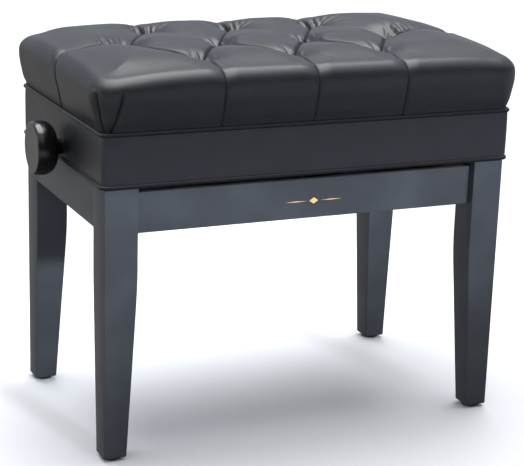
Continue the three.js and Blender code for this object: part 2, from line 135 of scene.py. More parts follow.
class BenchStage(bpy.types.PropertyGroup):
    """The floor, the lights and the camera."""

    floor: colour("Floor", "Colour of the floor", (0.66, 0.66, 0.67))
    low_front: colour("Low front", "Colour of the low room in front, as reflected", (0.50, 0.53, 0.62))
    low_back: colour("Low back", "Colour of the low room at the back, as reflected", (0.41, 0.41, 0.395))
    room_front: colour("Room in front", "Colour of the room behind the camera", (0.06, 0.062, 0.068))
    room_back: colour("Room behind", "Colour of the wall behind the bench", (0.55, 0.59, 0.70))
    ceiling: colour("Ceiling", "Colour of the ceiling over the bench", (0.90, 0.94, 1.0))
    key_power: FloatProperty(name="Overhead light", description="Strength of the overhead sun", default=3.6)
    key_spread: degrees("Overhead spread", "Angle that the overhead light fills", 52)
    front_power: watts("Front beam", "Power of the beam on the legs and the front apron", 2.5)
    side_power: watts("Side light", "Power of the soft light at the left", 7.2)
    yaw: degrees("Camera yaw", "Camera's turn round the bench", 24.603)
    pitch: degrees("Camera pitch", "How far the camera looks down", 15.96)
    roll: degrees("Camera roll", "Tilt of the picture", 1.796)
    lens: FloatProperty(name="Lens", description="Camera's focal length", default=108.85, unit="CAMERA")


# ---- surfaces -----------------------------------------------------------------------------------
def smoothstep(low, high, value):
    """0 below low, 1 above high, and 3t^2 - 2t^3 between."""
    t = np.clip((value - low) / (high - low), 0, 1)
    return t * t * (3 - 2 * t)


def spline(knots, values, at):
    """Values at the given places on a monotone cubic through the knots.

    Each inner tangent is the harmonic mean of the slopes beside it, or 0 where they differ in sign.
    """
    knots, values, at = (np.asarray(part, float) for part in (knots, values, at))
    widths = np.diff(knots)
    slopes = np.diff(values) / widths
    before, after = slopes[:-1], slopes[1:]
    total = np.where(before + after == 0, 1, before + after)
    inner = np.where(before * after > 0, 2 * before * after / total, 0)
    tangents = np.concatenate([slopes[:1], inner, slopes[-1:]])
    index = np.clip(np.searchsorted(knots, at, side="right") - 1, 0, len(widths) - 1)
    t = (at - knots[index]) / widths[index]
    h00, h10 = 2 * t**3 - 3 * t**2 + 1, t**3 - 2 * t**2 + t
    h01, h11 = -2 * t**3 + 3 * t**2, t**3 - t**2
    return (h00 * values[index] + h10 * widths[index] * tangents[index]
            + h01 * values[index + 1] + h11 * widths[index] * tangents[index + 1])


def smooth_curve(points, at):
    """Places on the natural cubic spline through points, whose second derivative is continuous.

    The spline's parameter is the distance walked along the points, and at runs from 0 to 1.
    """
    points = np.asarray(points, float)
    knots = np.concatenate([[0], np.cumsum(np.linalg.norm(np.diff(points[:, :2], axis=0), axis=1))])
    knots = knots / knots[-1]
    widths = np.diff(knots)
    count = len(knots)
    system, right = np.eye(count), np.zeros_like(points)
    inner = np.arange(1, count - 1)
    system[inner, inner - 1], system[inner, inner + 1] = widths[:-1], widths[1:]
    system[inner, inner] = 2 * (widths[:-1] + widths[1:])
    slopes = np.diff(points, axis=0) / widths[:, None]
    right[inner] = 6 * np.diff(slopes, axis=0)
    bend = np.linalg.solve(system, right)
    index = np.clip(np.searchsorted(knots, at, side="right") - 1, 0, count - 2)
    after, before = (np.asarray(at) - knots[index])[:, None], (knots[index + 1] - np.asarray(at))[:, None]
    width = widths[index][:, None]
    return (bend[index] * before**3 / (6 * width) + bend[index + 1] * after**3 / (6 * width)
            + (points[index] / width - bend[index] * width / 6) * before
            + (points[index + 1] / width - bend[index + 1] * width / 6) * after)


def unit(vectors):
    """Vectors scaled to length 1."""
    return vectors / np.maximum(np.linalg.norm(vectors, axis=-1, keepdims=True), 1e-12)


def grid_quads(rows, columns, first=0, wrap_rows=False, wrap_columns=False):
    """Faces of a rows x columns grid of points numbered row by row, joined up where it wraps."""
    row = np.arange(rows if wrap_rows else rows - 1)[:, None]
    column = np.arange(columns if wrap_columns else columns - 1)[None, :]
    next_row, next_column = (row + 1) % rows, (column + 1) % columns
    corners = (row * columns + column, row * columns + next_column,
               next_row * columns + next_column, next_row * columns + column)
    return first + np.stack(corners, axis=-1).reshape(-1, 4)


def make_mesh(name, points, quads, smooth_angle=35.0, crease_shade=None):
    """A mesh from an array of points and one of quads, welded where points meet and turned outwards.

    The painted shade of the folds, where there is any, becomes an attribute with one value at each point.
    """
    mesh = bpy.data.meshes.new(name)
    mesh.vertices.add(len(points))
    mesh.vertices.foreach_set("co", np.asarray(points, np.float32).ravel())
    mesh.loops.add(quads.size)
    mesh.loops.foreach_set("vertex_index", quads.astype(np.int32).ravel())
    mesh.polygons.add(len(quads))
    mesh.polygons.foreach_set("loop_start", np.arange(0, quads.size, 4, dtype=np.int32))
    mesh.update(calc_edges=True)
    if crease_shade is not None:
        attribute = mesh.attributes.new("crease_shade", "FLOAT", "POINT")
        attribute.data.foreach_set("value", crease_shade.astype(np.float32))
    clean(mesh)
    mesh.validate()
    mesh.shade_smooth()
    mesh.set_sharp_from_angle(angle=np.radians(smooth_angle))
    return mesh


def clean(mesh):
    """Welds doubled points, drops the faces that vanish, and turns the rest outwards."""
    weld = 1e-6
    work = bmesh.new()
    work.from_mesh(mesh)
    bmesh.ops.remove_doubles(work, verts=work.verts, dist=weld)
    bmesh.ops.dissolve_degenerate(work, edges=work.edges, dist=weld / 2)
    bmesh.ops.recalc_face_normals(work, faces=work.faces)
    work.to_mesh(mesh)
    work.free()


def place(name, mesh, material, body, replaced=()):
    """Shows a mesh as a named piece that rides on a body and stands for CAD nodes."""
    piece = bpy.data.objects.new(name, mesh)
    bpy.context.scene.collection.objects.link(piece)
    piece.data.materials.append(material)
    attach(piece, body)
    if replaced:
        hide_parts(*replaced)
    return piece


def closed_rings(rings):
    """Points and quads of a skin over stacked rings, shaped (levels, around, 3) and capped at both ends.

    A cap is the end ring drawn in to its mean point, so that all its faces are quads before welding.
    """
    levels, around, _ = rings.shape
    ends = [np.repeat(ring.mean(axis=0)[None], around, axis=0) for ring in (rings[0], rings[-1])]
    points = np.concatenate([ends[0][None], rings, ends[1][None]])
    return points.reshape(-1, 3), grid_quads(levels + 2, around, wrap_columns=True)


def turned(profile, sides, axis="x", centre=(0, 0, 0)):
    """Points and quads of a profile of (along, radius) turned round an axis through a centre.

    A point is (along, radius cos a, radius sin a), with its parts moved round to lie along the axis.
    """
    profile = np.asarray(profile, float)
    angle = np.linspace(0, 2 * np.pi, sides, endpoint=False)
    along = np.repeat(profile[:, :1], sides, axis=1)
    local = np.stack([along, profile[:, 1:] * np.cos(angle), profile[:, 1:] * np.sin(angle)], axis=-1)
    local = np.roll(local, "xyz".index(axis), axis=-1)
    return local.reshape(-1, 3) + np.asarray(centre), grid_quads(len(profile), sides, wrap_columns=True)


def rounded_outline(corners, radii, steps=5):
    """Points round a convex polygon, anticlockwise, each corner turned into an arc of its own radius."""
    corners, radii = np.asarray(corners, float), np.asarray(radii, float)
    arrive = unit(corners - np.roll(corners, 1, axis=0))
    leave = unit(np.roll(corners, -1, axis=0) - corners)
    turn = np.arctan2(arrive[:, 0] * leave[:, 1] - arrive[:, 1] * leave[:, 0], (arrive * leave).sum(axis=1))
    start = corners - arrive * (radii * np.tan(turn / 2))[:, None]
    inward = np.stack([-arrive[:, 1], arrive[:, 0]], axis=1)
    centre = start + inward * radii[:, None]
    angle = turn[:, None] * np.linspace(0, 1, steps)[None, :]
    first = (start - centre)[:, None, :]
    cosine, sine = np.cos(angle), np.sin(angle)
    arc = np.stack([first[..., 0] * cosine - first[..., 1] * sine,
                    first[..., 0] * sine + first[..., 1] * cosine], axis=-1)
    return (centre[:, None, :] + arc).reshape(-1, 2)


# ---- shading ------------------------------------------------------------------------------------
class Signal:
    """A node socket that Python's arithmetic works on; each operation adds its Math node."""

    def __init__(self, finish, socket):
        self.finish, self.socket = finish, socket

    def math(self, operation, first, second):
        """One Math node's result."""
        return self.finish.node("ShaderNodeMath", {"operation": operation}, {0: first, 1: second})

    def __add__(self, other):
        return self.math("ADD", self, other)

    def __sub__(self, other):
        return self.math("SUBTRACT", self, other)

    def __rsub__(self, other):
        return self.math("SUBTRACT", other, self)

    def __mul__(self, other):
        return self.math("MULTIPLY", self, other)

    __radd__, __rmul__ = __add__, __mul__

    def between(self, low, high):
        """0 where this is below low, 1 above high, and smooth between."""
        return self.finish.node(
            "ShaderNodeMapRange", {"interpolation_type": "SMOOTHSTEP", "clamp": True},
            {"Value": self, "From Min": low, "From Max": high}, "Result")


class Nodes:
    """A node tree, whose nodes come from one method."""

    def __init__(self, tree):
        self.tree = tree

    def feed(self, socket, value):
        """Links a signal to a socket, or sets its constant."""
        if isinstance(value, Signal):
            self.tree.links.new(value.socket, socket)
        else:
            socket.default_value = value

    def node(self, kind, settings=None, inputs=None, output=0):
        """Adds a node, its settings first, then its sockets' values or links, and gives one output."""
        node = self.tree.nodes.new(kind)
        for name, value in (settings or {}).items():
            setattr(node, name, value)
        for name, value in (inputs or {}).items():
            self.feed(node.inputs[name], value)
        return Signal(self, node.outputs[output])

    def object_place(self, scale=(1, 1, 1)):
        """Object coordinates, stretched."""
        coordinates = self.node("ShaderNodeTexCoord", output="Object")
        return self.node("ShaderNodeMapping", {}, {"Vector": coordinates, "Scale": scale})

    def noise(self, vector, scale, detail=2.0, roughness=0.5):
        """Noise from 0 to 1, with about as many lumps in a metre as its scale."""
        return self.node("ShaderNodeTexNoise", {}, {
            "Vector": vector, "Scale": scale, "Detail": detail, "Roughness": roughness}, "Fac")

    def mix(self, factor, low, high):
        """A colour between two."""
        node = self.tree.nodes.new("ShaderNodeMix")
        node.data_type = "RGBA"
        for socket, value in ((node.inputs[0], factor), (node.inputs[6], low), (node.inputs[7], high)):
            self.feed(socket, value)
        return Signal(self, node.outputs[2])

    def part(self, vector, axis):
        """One part of a vector."""
        return self.node("ShaderNodeSeparateXYZ", {}, {"Vector": vector}, axis)

    def bump(self, height, strength, distance):
        """A normal tipped by a height, which is worth the distance in metres."""
        inputs = {"Height": height, "Strength": strength, "Distance": distance}
        return self.node("ShaderNodeBump", {}, inputs, "Normal")

    def attribute(self, name):
        """A mesh's own attribute, as one value."""
        return self.node("ShaderNodeAttribute", {"attribute_name": name}, {}, "Fac")


class Finish(Nodes):
    """A material with one shader, whose base colour is the tint until something feeds it."""

    def __init__(self, name, tint, **constants):
        self.material = bpy.data.materials.new(name)
        self.material.use_nodes = True
        self.material.diffuse_color = opaque(tint)
        super().__init__(self.material.node_tree)
        self.shader = self.tree.nodes["Principled BSDF"]
        self.set(Base_Color=opaque(tint), **constants)

    def set(self, **inputs):
        """Feeds the shader's sockets, named with underscores for their spaces."""
        for name, value in inputs.items():
            self.feed(self.shader.inputs[name.replace("_", " ")], value)


def opaque(tint, factor=1.0):
    """A colour with its alpha, scaled in brightness."""
    return (*(channel * factor for channel in tint), 1.0)


def vinyl_finish(name, tint, creased=False):
    """Soft-sheen upholstery vinyl: an embossed leather grain, faint mottling, and painted shade with a duller
    finish in the folds.
    """
    finish = Finish(name, tint, IOR=1.5, Specular_IOR_Level=0.55)
    spot = finish.object_place()
    cells = finish.node("ShaderNodeTexVoronoi", {"feature": "DISTANCE_TO_EDGE"},
                        {"Vector": spot, "Scale": 760.0, "Randomness": 0.9}, "Distance")
    pores = finish.noise(spot, 1900.0)
    mottle = finish.noise(spot, 38.0, 3.0)
    cloud = finish.noise(spot, 9.0)
    grain = cells.between(0.0, 0.22) + pores * 0.25
    shade = finish.mix(mottle.between(0.3, 0.75), opaque(tint, 0.92), opaque(tint, 1.08))
    roughness = 0.33 + mottle * 0.06 + cloud * 0.05 + (1 - cells.between(0.0, 0.2)) * 0.05
    if creased:
        # In the folds the colour falls to 12% of the tint as painted shade, and the roughness rises there
        # too.
        crease_shade = finish.attribute("crease_shade")
        shade = finish.mix(crease_shade, shade, opaque(tint, 0.12))
        roughness = roughness + crease_shade * 0.75
    finish.set(Base_Color=shade, Roughness=roughness, Normal=finish.bump(grain, 0.10, 0.2 * MM))
    return finish.material


def lacquer_finish(name, tint):
    """Satin black lacquer over wood: slight orange peel, a hint of upright fibres and a rubbed-out haze."""
    finish = Finish(name, tint, IOR=1.52, Specular_IOR_Level=0.18)
    spot = finish.object_place()
    peel = finish.noise(spot, 210.0)
    fibre = finish.noise(finish.object_place(scale=(1, 1, 0.05)), 420.0, 3.0)
    haze = finish.noise(spot, 16.0, 3.0)
    shade = finish.mix(haze.between(0.3, 0.8), opaque(tint, 0.9), opaque(tint, 1.25))
    roughness = 0.27 + haze * 0.08 + fibre * 0.03
    height = peel + fibre * 0.2
    finish.set(Base_Color=shade, Roughness=roughness, Normal=finish.bump(height, 0.03, 0.3 * MM))
    return finish.material


def knob_finish(name, tint):
    """Moulded phenolic knob, polished, with smears and faint swirls from the buffing wheel."""
    finish = Finish(name, tint, IOR=1.6, Specular_IOR_Level=0.5)
    swirl = finish.noise(finish.object_place(scale=(0.2, 1, 1)), 900.0)
    smear = finish.noise(finish.object_place(), 45.0, 3.0)
    finish.set(Roughness=0.15 + smear.between(0.45, 0.8) * 0.06 + swirl * 0.03,
               Normal=finish.bump(smear, 0.02, 0.6 * MM))
    return finish.material


def painted_steel_finish(name, tint):
    """Black powder paint on steel, with its pebbled surface and rubbed high spots."""
    finish = Finish(name, tint, IOR=1.5)
    spot = finish.object_place()
    pebble = finish.noise(spot, 520.0, 3.0)
    rubbed = finish.noise(spot, 60.0, 4.0).between(0.66, 0.78)
    shade = finish.mix(rubbed * 0.5, opaque(tint), opaque((0.10, 0.10, 0.105)))
    finish.set(Base_Color=shade, Roughness=0.42 + pebble * 0.14, Normal=finish.bump(pebble, 0.12, 0.4 * MM))
    return finish.material


def bright_metal_finish(name, tint, stretch=(1, 1, 1), roughness=0.26, metal=1.0):
    """Bright turned metal: fine tool lines and faint dull stains."""
    finish = Finish(name, tint, Metallic=metal)
    lines = finish.noise(finish.object_place(scale=stretch), 1400.0)
    stain = finish.noise(finish.object_place(), 55.0, 4.0).between(0.5, 0.8)
    shade = finish.mix(stain * 0.55, opaque(tint), opaque(tint, 0.62))
    finish.set(Base_Color=shade, Roughness=roughness + lines * 0.10 + stain * 0.12,
               Normal=finish.bump(lines, 0.08, 0.2 * MM))
    return finish.material


def nylon_finish(name):
    """Black moulded nylon with a fine spark texture and scuffs."""
    black, scuffed = (0.012, 0.012, 0.012), (0.05, 0.05, 0.05)
    finish = Finish(name, black)
    spark = finish.noise(finish.object_place(), 1500.0)
    scuff = finish.noise(finish.object_place(), 120.0, 4.0).between(0.55, 0.8)
    shade = finish.mix(scuff * 0.4, opaque(black), opaque(scuffed))
    finish.set(Base_Color=shade, Roughness=0.5 + spark * 0.15, Normal=finish.bump(spark, 0.1, 0.2 * MM))
    return finish.material


def bare_wood_finish(name, tint, grain=(0.05, 1, 1), plies=False):
    """Bare wood: long fibres and growth bands; plywood adds its glued layers on the edges."""
    finish = Finish(name, tint)
    along = finish.object_place(scale=grain)
    fibre = finish.noise(along, 260.0, 4.0, 0.65)
    bands = finish.node(
        "ShaderNodeTexWave", {"bands_direction": "Y"},
        {"Vector": along, "Scale": 14.0, "Distortion": 5.0, "Detail": 2.0, "Detail Scale": 1.4}, "Fac")
    shade = finish.mix(bands * 0.55, opaque(tint, 1.12), opaque(tint, 0.66))
    shade = finish.mix(fibre.between(0.52, 0.78) * 0.6, shade, opaque(tint, 0.5))
    if plies:
        height = finish.part(finish.object_place(), "Z")
        layer = finish.node("ShaderNodeMath", {"operation": "PINGPONG"}, {0: height, 1: 1.1 * MM})
        shade = finish.mix(layer.between(0.9 * MM, 1.1 * MM) * 0.6, shade, opaque(tint, 0.4))
    finish.set(Base_Color=shade, Roughness=0.62 + fibre * 0.2, Normal=finish.bump(fibre, 0.25, 0.4 * MM))
    return finish.material


FINISHES = {}


def finish_of(name):
    """The named finish, made the first time it is asked for."""
    scene = bpy.context.scene
    fabric, wood, metal = scene.bench_upholstery, scene.bench_joinery, scene.bench_hardware
    makers = {
        # The cushion's vinyl takes painted shade in its folds.
        "cushion_vinyl": lambda: vinyl_finish("cushion_vinyl", fabric.vinyl, creased=True),
        "vinyl": lambda: vinyl_finish("band_vinyl", fabric.vinyl),
        # The piping's vinyl is half as bright as the band's: painted shade for the dark grooves beside the
        # cord.
        "piping": lambda: vinyl_finish("shaded_piping_vinyl", [part * 0.5 for part in fabric.vinyl]),
        "lacquer": lambda: lacquer_finish("black_lacquer", wood.lacquer),
        "knob": lambda: knob_finish("polished_knob", metal.knob),
        "black_steel": lambda: painted_steel_finish("painted_steel", metal.paint),
        "bright_steel": lambda: bright_metal_finish("bright_steel", metal.steel),
        "spindle_steel": lambda: bright_metal_finish("spindle_steel", metal.steel, (4, 1, 1), 0.22),
        "brass": lambda: bright_metal_finish("turned_brass", metal.brass, (1, 1, 1), 0.24),
        "inlay": lambda: bright_metal_finish("inlay_brass", metal.brass, (1, 1, 0.2), 0.35, 0.45),
        "nylon": lambda: nylon_finish("black_nylon"),
        "plywood": lambda: bare_wood_finish("plywood", wood.ply, plies=True),
        "block_wood": lambda: bare_wood_finish("block_beech", wood.ply, grain=(1, 1, 0.06)),
    }
    if name not in FINISHES:
        FINISHES[name] = makers[name]()
    return FINISHES[name]


# ---- cushion ------------------------------------------------------------------------------------
EDGE_X = BAND_X - 6 * MM          # the cushion's top edge line
EDGE_Y = BAND_Y - 6 * MM
EDGE_RADIUS = 22 * MM
CUSHION_FOOT = BAND_HIGH[2] + 1.5 * MM
CUSHION_CREST = extent("cushion")[1][2] + 2.2 * MM

# The side's profile from the piping up to the edge line: swell beyond the edge line, height above the
# foot and corner radius, in millimetres. Above its fullest point it is a roll of 20 mm radius.
SIDE_PROFILE = (
    (5.3, 0.0, 9.0), (6.6, 5.0, 11.5), (9.5, 11.5, 16.5), (13.3, 23.5, 24.0), (16.4, 37.5, 30.0),
    (17.5, 50.0, 32.5), (17.0, 57.5, 32.5), (15.0, 63.5, 31.0), (11.6, 67.9, 28.5), (7.4, 71.3, 25.5),
    (3.7, 73.0, 23.5), (0.0, 73.9, 22.0),
)
# The top's crown: inset from the edge line and drop below the crest, both in millimetres.
CROWN_INSET = (0.0, 4.0, 8.0, 16.0, 27.0, 44.0, 70.0, 110.0, 160.0)
CROWN_DROP = (12.2, 11.3, 10.3, 8.2, 5.5, 2.8, 2.2, 3.4, 4.4)
EDGE_Z = CUSHION_CREST - CROWN_DROP[0] * MM

# How far a fold's slopes reach: where it starts, where it ends, and what it gains half way.
PLEAT_REACH = (30 * MM, 30 * MM, 26 * MM)
SEAM_REACH = (46 * MM, 22 * MM, 5 * MM)
END_SEAM_REACH = (40 * MM, 24 * MM, 12 * MM)
CREASE_SHADE = 1.9 * MM                 # half-width of the painted shade line in a fold
# Half-widths of the painted shade lines along the long sides' seams and along the darts.
LONG_SEAM_CREASE = 1.3 * MM
DART_CREASE = 1.8 * MM
DART_DEPTH, DART_REACH = 3.6 * MM, 9 * MM

GATHER_SPACING = 7.4 * MM
BUNCH_HALF_WIDTH = 12.5 * MM
BUNCH_END = 30 * MM               # where a tuft's gathers run out
FAINT_BUNCH = 0.22                # strength of the gathers at the end tufts and on the front seams
FUNNEL_ACROSS, FUNNEL_INWARD, FUNNEL_OUTWARD = 12 * MM, 19 * MM, 11 * MM


def dome_rise(distance, width):
    """A pillow's rise from a fold: a tight lip, then a quarter of a sine wave up to 1 at the width."""
    lip = 0.30
    t = np.clip(distance / width, 0, 1)
    return lip * (1 - np.exp(-distance / (2.0 * MM))) + (1 - lip) * np.sin(np.pi / 2 * t)


def slope_rise(distance, width):
    """The stretched outer pillows' rise from a fold: a tight lip, then an almost straight slope."""
    lip = 0.16
    t = np.clip(distance / width, 0, 1)
    return lip * (1 - np.exp(-distance / (2.2 * MM))) + (1 - lip) * (t * (1.5 - 0.5 * t**2)) ** 0.95


def tuft_rows(fabric):
    """Places of the tufts: three in the front row, four in the middle row and three in the rear row."""
    outer = fabric.tuft_shift + fabric.tuft_spacing * np.array([-1.0, 0.0, 1.0])
    middle = fabric.tuft_shift + fabric.tuft_spacing * np.array([-1.5, -0.5, 0.5, 1.5])
    front = np.stack([outer, np.full(3, -fabric.row_spacing)], axis=1)
    rear = np.stack([outer, np.full(3, fabric.row_spacing)], axis=1)
    return front, np.stack([middle, np.zeros(4)], axis=1), rear


def end_seam_y(sign, share):
    """Where an end seam runs: it bows to the front by 17 mm sin(pi share^0.8), and less on the right."""
    bow = 17 * MM * (1 if sign < 0 else 0.6)
    return -bow * np.sin(np.pi * np.clip(share, 0, 1) ** 0.8)


def end_seams(fabric):
    """The two seams from the middle row's last tufts to the ends, as tuft, end of the seam and side."""
    middle = tuft_rows(fabric)[1]
    return [(tuft, np.array([sign * EDGE_X, end_seam_y(sign, 0.97)]), sign)
            for tuft, sign in ((middle[0], -1), (middle[-1], 1))]


def fold_segments(fabric):
    """Folds on the cushion's top, each as its start, its end, its depths at both and its reach."""
    front, middle, rear = tuft_rows(fabric)
    folds = []
    for row in (front, rear):
        for index, tuft in enumerate(row):
            for neighbour in (middle[index], middle[index + 1]):
                folds.append((tuft, neighbour, (1.0, 1.0), PLEAT_REACH))
        for tuft in row:
            edge = np.array([tuft[0], np.sign(tuft[1]) * EDGE_Y])
            folds.append((tuft, edge, (1.0, 0.30), SEAM_REACH))
    folds.extend((tuft, edge, (1.0, 0.34), END_SEAM_REACH) for tuft, edge, _ in end_seams(fabric))
    return folds


def inside_diamonds(x, y, fabric):
    """1 well inside a diamond between four tufts and 0 in the outer pillows.

    It is a smooth step on the largest 1 - |dx| / a - |dy| / b, with a and b half the diamond's diagonals.
    """
    centres = tuft_rows(fabric)[0][:, 0]
    across = np.abs(x[..., None] - centres) / (fabric.tuft_spacing / 2)
    depth = 1 - across.min(axis=-1) - np.abs(y) / fabric.row_spacing
    return smoothstep(-0.02, 0.06, depth)


def gathers(x, y, tuft, order, fabric):
    """The small folds of a tuft: a bunch of near-parallel ridges in front of it and behind it.

    Across the bunch the folds are cos a + 0.3 cos 2a, fanning out a little; along it they swell up just
    outside the tuft and run out within 30 mm. Each tuft's bunch is shifted; the bunches are faint at the two
    end tufts and on the front row's seams. A weaker fan cos(n a) goes all round.
    """
    across, along = x - tuft[0], y - tuft[1]
    away = np.abs(along)
    fanned = (across + 1.5 * MM * np.sin(1.9 * order)) / (1 + away / (45 * MM))
    wave = 2 * np.pi * fanned / GATHER_SPACING + 1.3 * order + 0.5 * np.sin(away / (6 * MM) + order)
    ridge = np.cos(wave) + 0.3 * np.cos(2 * wave)
    bunch = np.exp(-((fanned / BUNCH_HALF_WIDTH) ** 4)) * smoothstep(1 * MM, 8 * MM, away)
    bunch = bunch * (1 - smoothstep(13 * MM, BUNCH_END, away))
    seam_side = (along < 0) & (tuft[1] < -1 * MM)
    end_tuft = np.abs(tuft[0] - fabric.tuft_shift) > 1.4 * fabric.tuft_spacing
    strength = np.where(seam_side | end_tuft, FAINT_BUNCH, 1.0) * (0.85 + 0.15 * np.sin(2.7 * order))
    distance = np.hypot(across, along)
    fan = np.cos(fabric.gathers * np.arctan2(along, across) + order) * (distance / (12 * MM))
    fan = fan * np.exp(1 - distance / (12 * MM)) * (1 - np.exp(-((distance / (6 * MM)) ** 2)))
    return fabric.gather_height * (ridge * bunch * strength + 0.16 * fan)


def end_ridges(x, y, tuft, edge, sign):
    """Ridges across an end seam: cos(2 pi run / 11.5 mm), strongest 8 mm beside the seam's line."""
    run = sign * (x - tuft[0])
    here = smoothstep(5 * MM, 15 * MM, run) * (1 - smoothstep(28 * MM, 48 * MM, run))
    ridge = np.cos(2 * np.pi * run / (11.5 * MM) + 0.6)
    reach = np.abs(y - edge[1] * run / (78 * MM)) / (8 * MM)
    return ridge * here * reach * np.exp(1 - reach)


def top_relief(x, y, fabric):
    """Depth of the tufted top below its crown, and how much painted shade each point gets along a fold or
    round a tuft.

    The pillows are the product, over all folds, of 1 - c (1 - rise(d / w)), where d is the distance to the
    fold and c and w run along it; each tuft adds a funnel t exp(-r^1.5), longer towards the middle line, and
    its gathers; the end seams add their ridges.
    """
    rise = np.ones_like(x)
    crease_shade = np.zeros_like(x)
    inside = inside_diamonds(x, y, fabric)
    for start, end, depths, widths in fold_segments(fabric):
        run = end - start
        share = np.clip(((x - start[0]) * run[0] + (y - start[1]) * run[1]) / (run @ run), 0, 1)
        distance = np.hypot(x - start[0] - share * run[0], y - start[1] - share * run[1])
        depth = (depths[0] + (depths[1] - depths[0]) * share**0.8) * (1 - 0.10 * np.sin(np.pi * share) ** 2)
        width = widths[0] + (widths[1] - widths[0]) * share + widths[2] * np.sin(np.pi * share)
        lift = inside * dome_rise(distance, width * 0.9) + (1 - inside) * slope_rise(distance, width * 1.15)
        rise = rise * (1 - depth * (1 - lift))
        # A narrow line of painted shade along each fold, darker where the fold is deeper.
        crease_shade = np.maximum(crease_shade, np.exp(-(distance / CREASE_SHADE) ** 2) * np.clip(depth * 1.9, 0, 1))
    sunk = fabric.pillow * (1 - rise)
    for order, tuft in enumerate(np.concatenate(tuft_rows(fabric))):
        away = np.hypot(x - tuft[0], y - tuft[1])
        along = (y - tuft[1]) * (np.sign(-tuft[1]) if abs(tuft[1]) > 1 * MM else 1)
        half_length = np.where(along > 0, FUNNEL_INWARD, FUNNEL_OUTWARD)
        reach = np.hypot((x - tuft[0]) / FUNNEL_ACROSS, along / half_length)
        sunk = sunk + fabric.tuft_depth * np.exp(-(reach**1.5))
        sunk = sunk - gathers(x, y, tuft, order, fabric)
        # Painted shade in and round each tuft.
        crease_shade = np.maximum(crease_shade, np.exp(-(away / (4 * MM)) ** 2))
    for tuft, edge, sign in end_seams(fabric):
        sunk = sunk - 0.8 * fabric.gather_height * end_ridges(x, y, tuft, edge, sign)
    return sunk, crease_shade


def soft_waves(points):
    """Slow unevenness of stuffed upholstery: a sum of crossed sine waves."""
    x, y, z = (points[..., part] for part in range(3))
    return (np.sin(38 * x + 13 * y + 1.3) * np.sin(31 * y - 11 * x + 0.4)
            + 0.6 * np.sin(67 * x - 35 * z + 2.1) * np.sin(52 * y + 29 * z)
            + 0.25 * np.sin(120 * x + 40 * y) * np.sin(110 * z + 90 * y + 0.7))


def side_relief(points, core, share, fabric):
    """Depth of the seams below the side's swell, and how much painted shade each point gets along a seam.

    A long side's seams stand under their tufts and an end's seam on its own bowed line; their depth fades
    from the edge line downwards.
    """
    x, y = points[..., 0], points[..., 1]
    front, _, _ = tuft_rows(fabric)
    sunk, crease_shade = np.zeros_like(x), np.zeros_like(x)
    upper = smoothstep(0.60, 1.0, share)
    depth = fabric.pillow * (0.30 * upper + 0.11 * (1 - upper))
    width = 16 * MM * smoothstep(0.55, 1.0, share) + 4 * MM
    on_long_side = np.abs(core[..., 1]) >= 1
    for tuft in front:
        distance = np.where(on_long_side, np.abs(x - tuft[0]), 1.0)
        sunk = sunk + depth * (1 - slope_rise(distance, width))
        # Painted shade along each seam of the long sides.
        crease_shade = np.maximum(crease_shade, 0.9 * np.exp(-(distance / LONG_SEAM_CREASE) ** 2))
    for sign in (-1, 1):
        on_end = (np.sign(core[..., 0]) == sign) & (np.abs(core[..., 0]) >= 1) & (np.abs(core[..., 1]) < 1)
        distance = np.where(on_end, np.abs(y - end_seam_y(sign, share)), 1.0)
        sunk = sunk + 1.5 * depth * (1 - slope_rise(distance, width))
        # Painted shade along each end seam.
        crease_shade = np.maximum(crease_shade, np.exp(-(distance / CREASE_SHADE) ** 2))
    return sunk, crease_shade


def dart_relief(points, level_x, level_y, radius, share):
    """Depth of the two darts at each corner, on lines at fixed turns of the corner's arc, and the painted
    shade along them.

    The front right corner's darts are turned round to the end. A dart fades out towards the top.
    """
    sunk, crease_shade = np.zeros(points.shape[:2]), np.zeros(points.shape[:2])
    fade = 1 - smoothstep(0.62, 0.84, share)
    for sign_x in (-1, 1):
        for sign_y in (-1, 1):
            front_right = sign_x > 0 > sign_y
            for angle in np.radians((2, 24) if front_right else (30, 88)):
                line_x = sign_x * (level_x - radius + radius * np.cos(angle))
                line_y = sign_y * (level_y - radius + radius * np.sin(angle))
                distance = np.hypot(points[..., 0] - line_x, points[..., 1] - line_y)
                # Painted shade along each dart's line, fading out towards the top.
                lip = np.exp(-(distance / DART_CREASE) ** 2)
                sunk = sunk + fade * (DART_DEPTH * (1 - slope_rise(distance, DART_REACH)))
                crease_shade = np.maximum(crease_shade, fade * lip)
    return sunk, crease_shade


def sheet_lines(fabric):
    """The x of the top sheet's columns and the y of its rows, about one cell apart."""
    columns = int(round(2 * EDGE_X / fabric.cell))
    rows = int(round(2 * EDGE_Y / fabric.cell))
    return np.linspace(-EDGE_X, EDGE_X, columns + 1), np.linspace(-EDGE_Y, EDGE_Y, rows + 1)


def square_to_round(x, y):
    """Moves points of a square-cornered sheet so that its corners become round, and gives each one's inset.

    In a corner square, a point at v from the corner's centre goes to v max(|vx|, |vy|) / |v|.
    """
    far_x = np.clip(np.abs(x) - (EDGE_X - EDGE_RADIUS), 0, None)
    far_y = np.clip(np.abs(y) - (EDGE_Y - EDGE_RADIUS), 0, None)
    both = (far_x > 0) & (far_y > 0)
    reach = np.maximum(far_x, far_y)
    scale = np.where(both, reach / np.maximum(np.hypot(far_x, far_y), 1e-12), 1.0)
    new_x = np.sign(x) * (np.abs(x) - far_x + far_x * scale)
    new_y = np.sign(y) * (np.abs(y) - far_y + far_y * scale)
    inset = np.minimum(EDGE_X - np.abs(x), EDGE_Y - np.abs(y))
    return new_x, new_y, inset


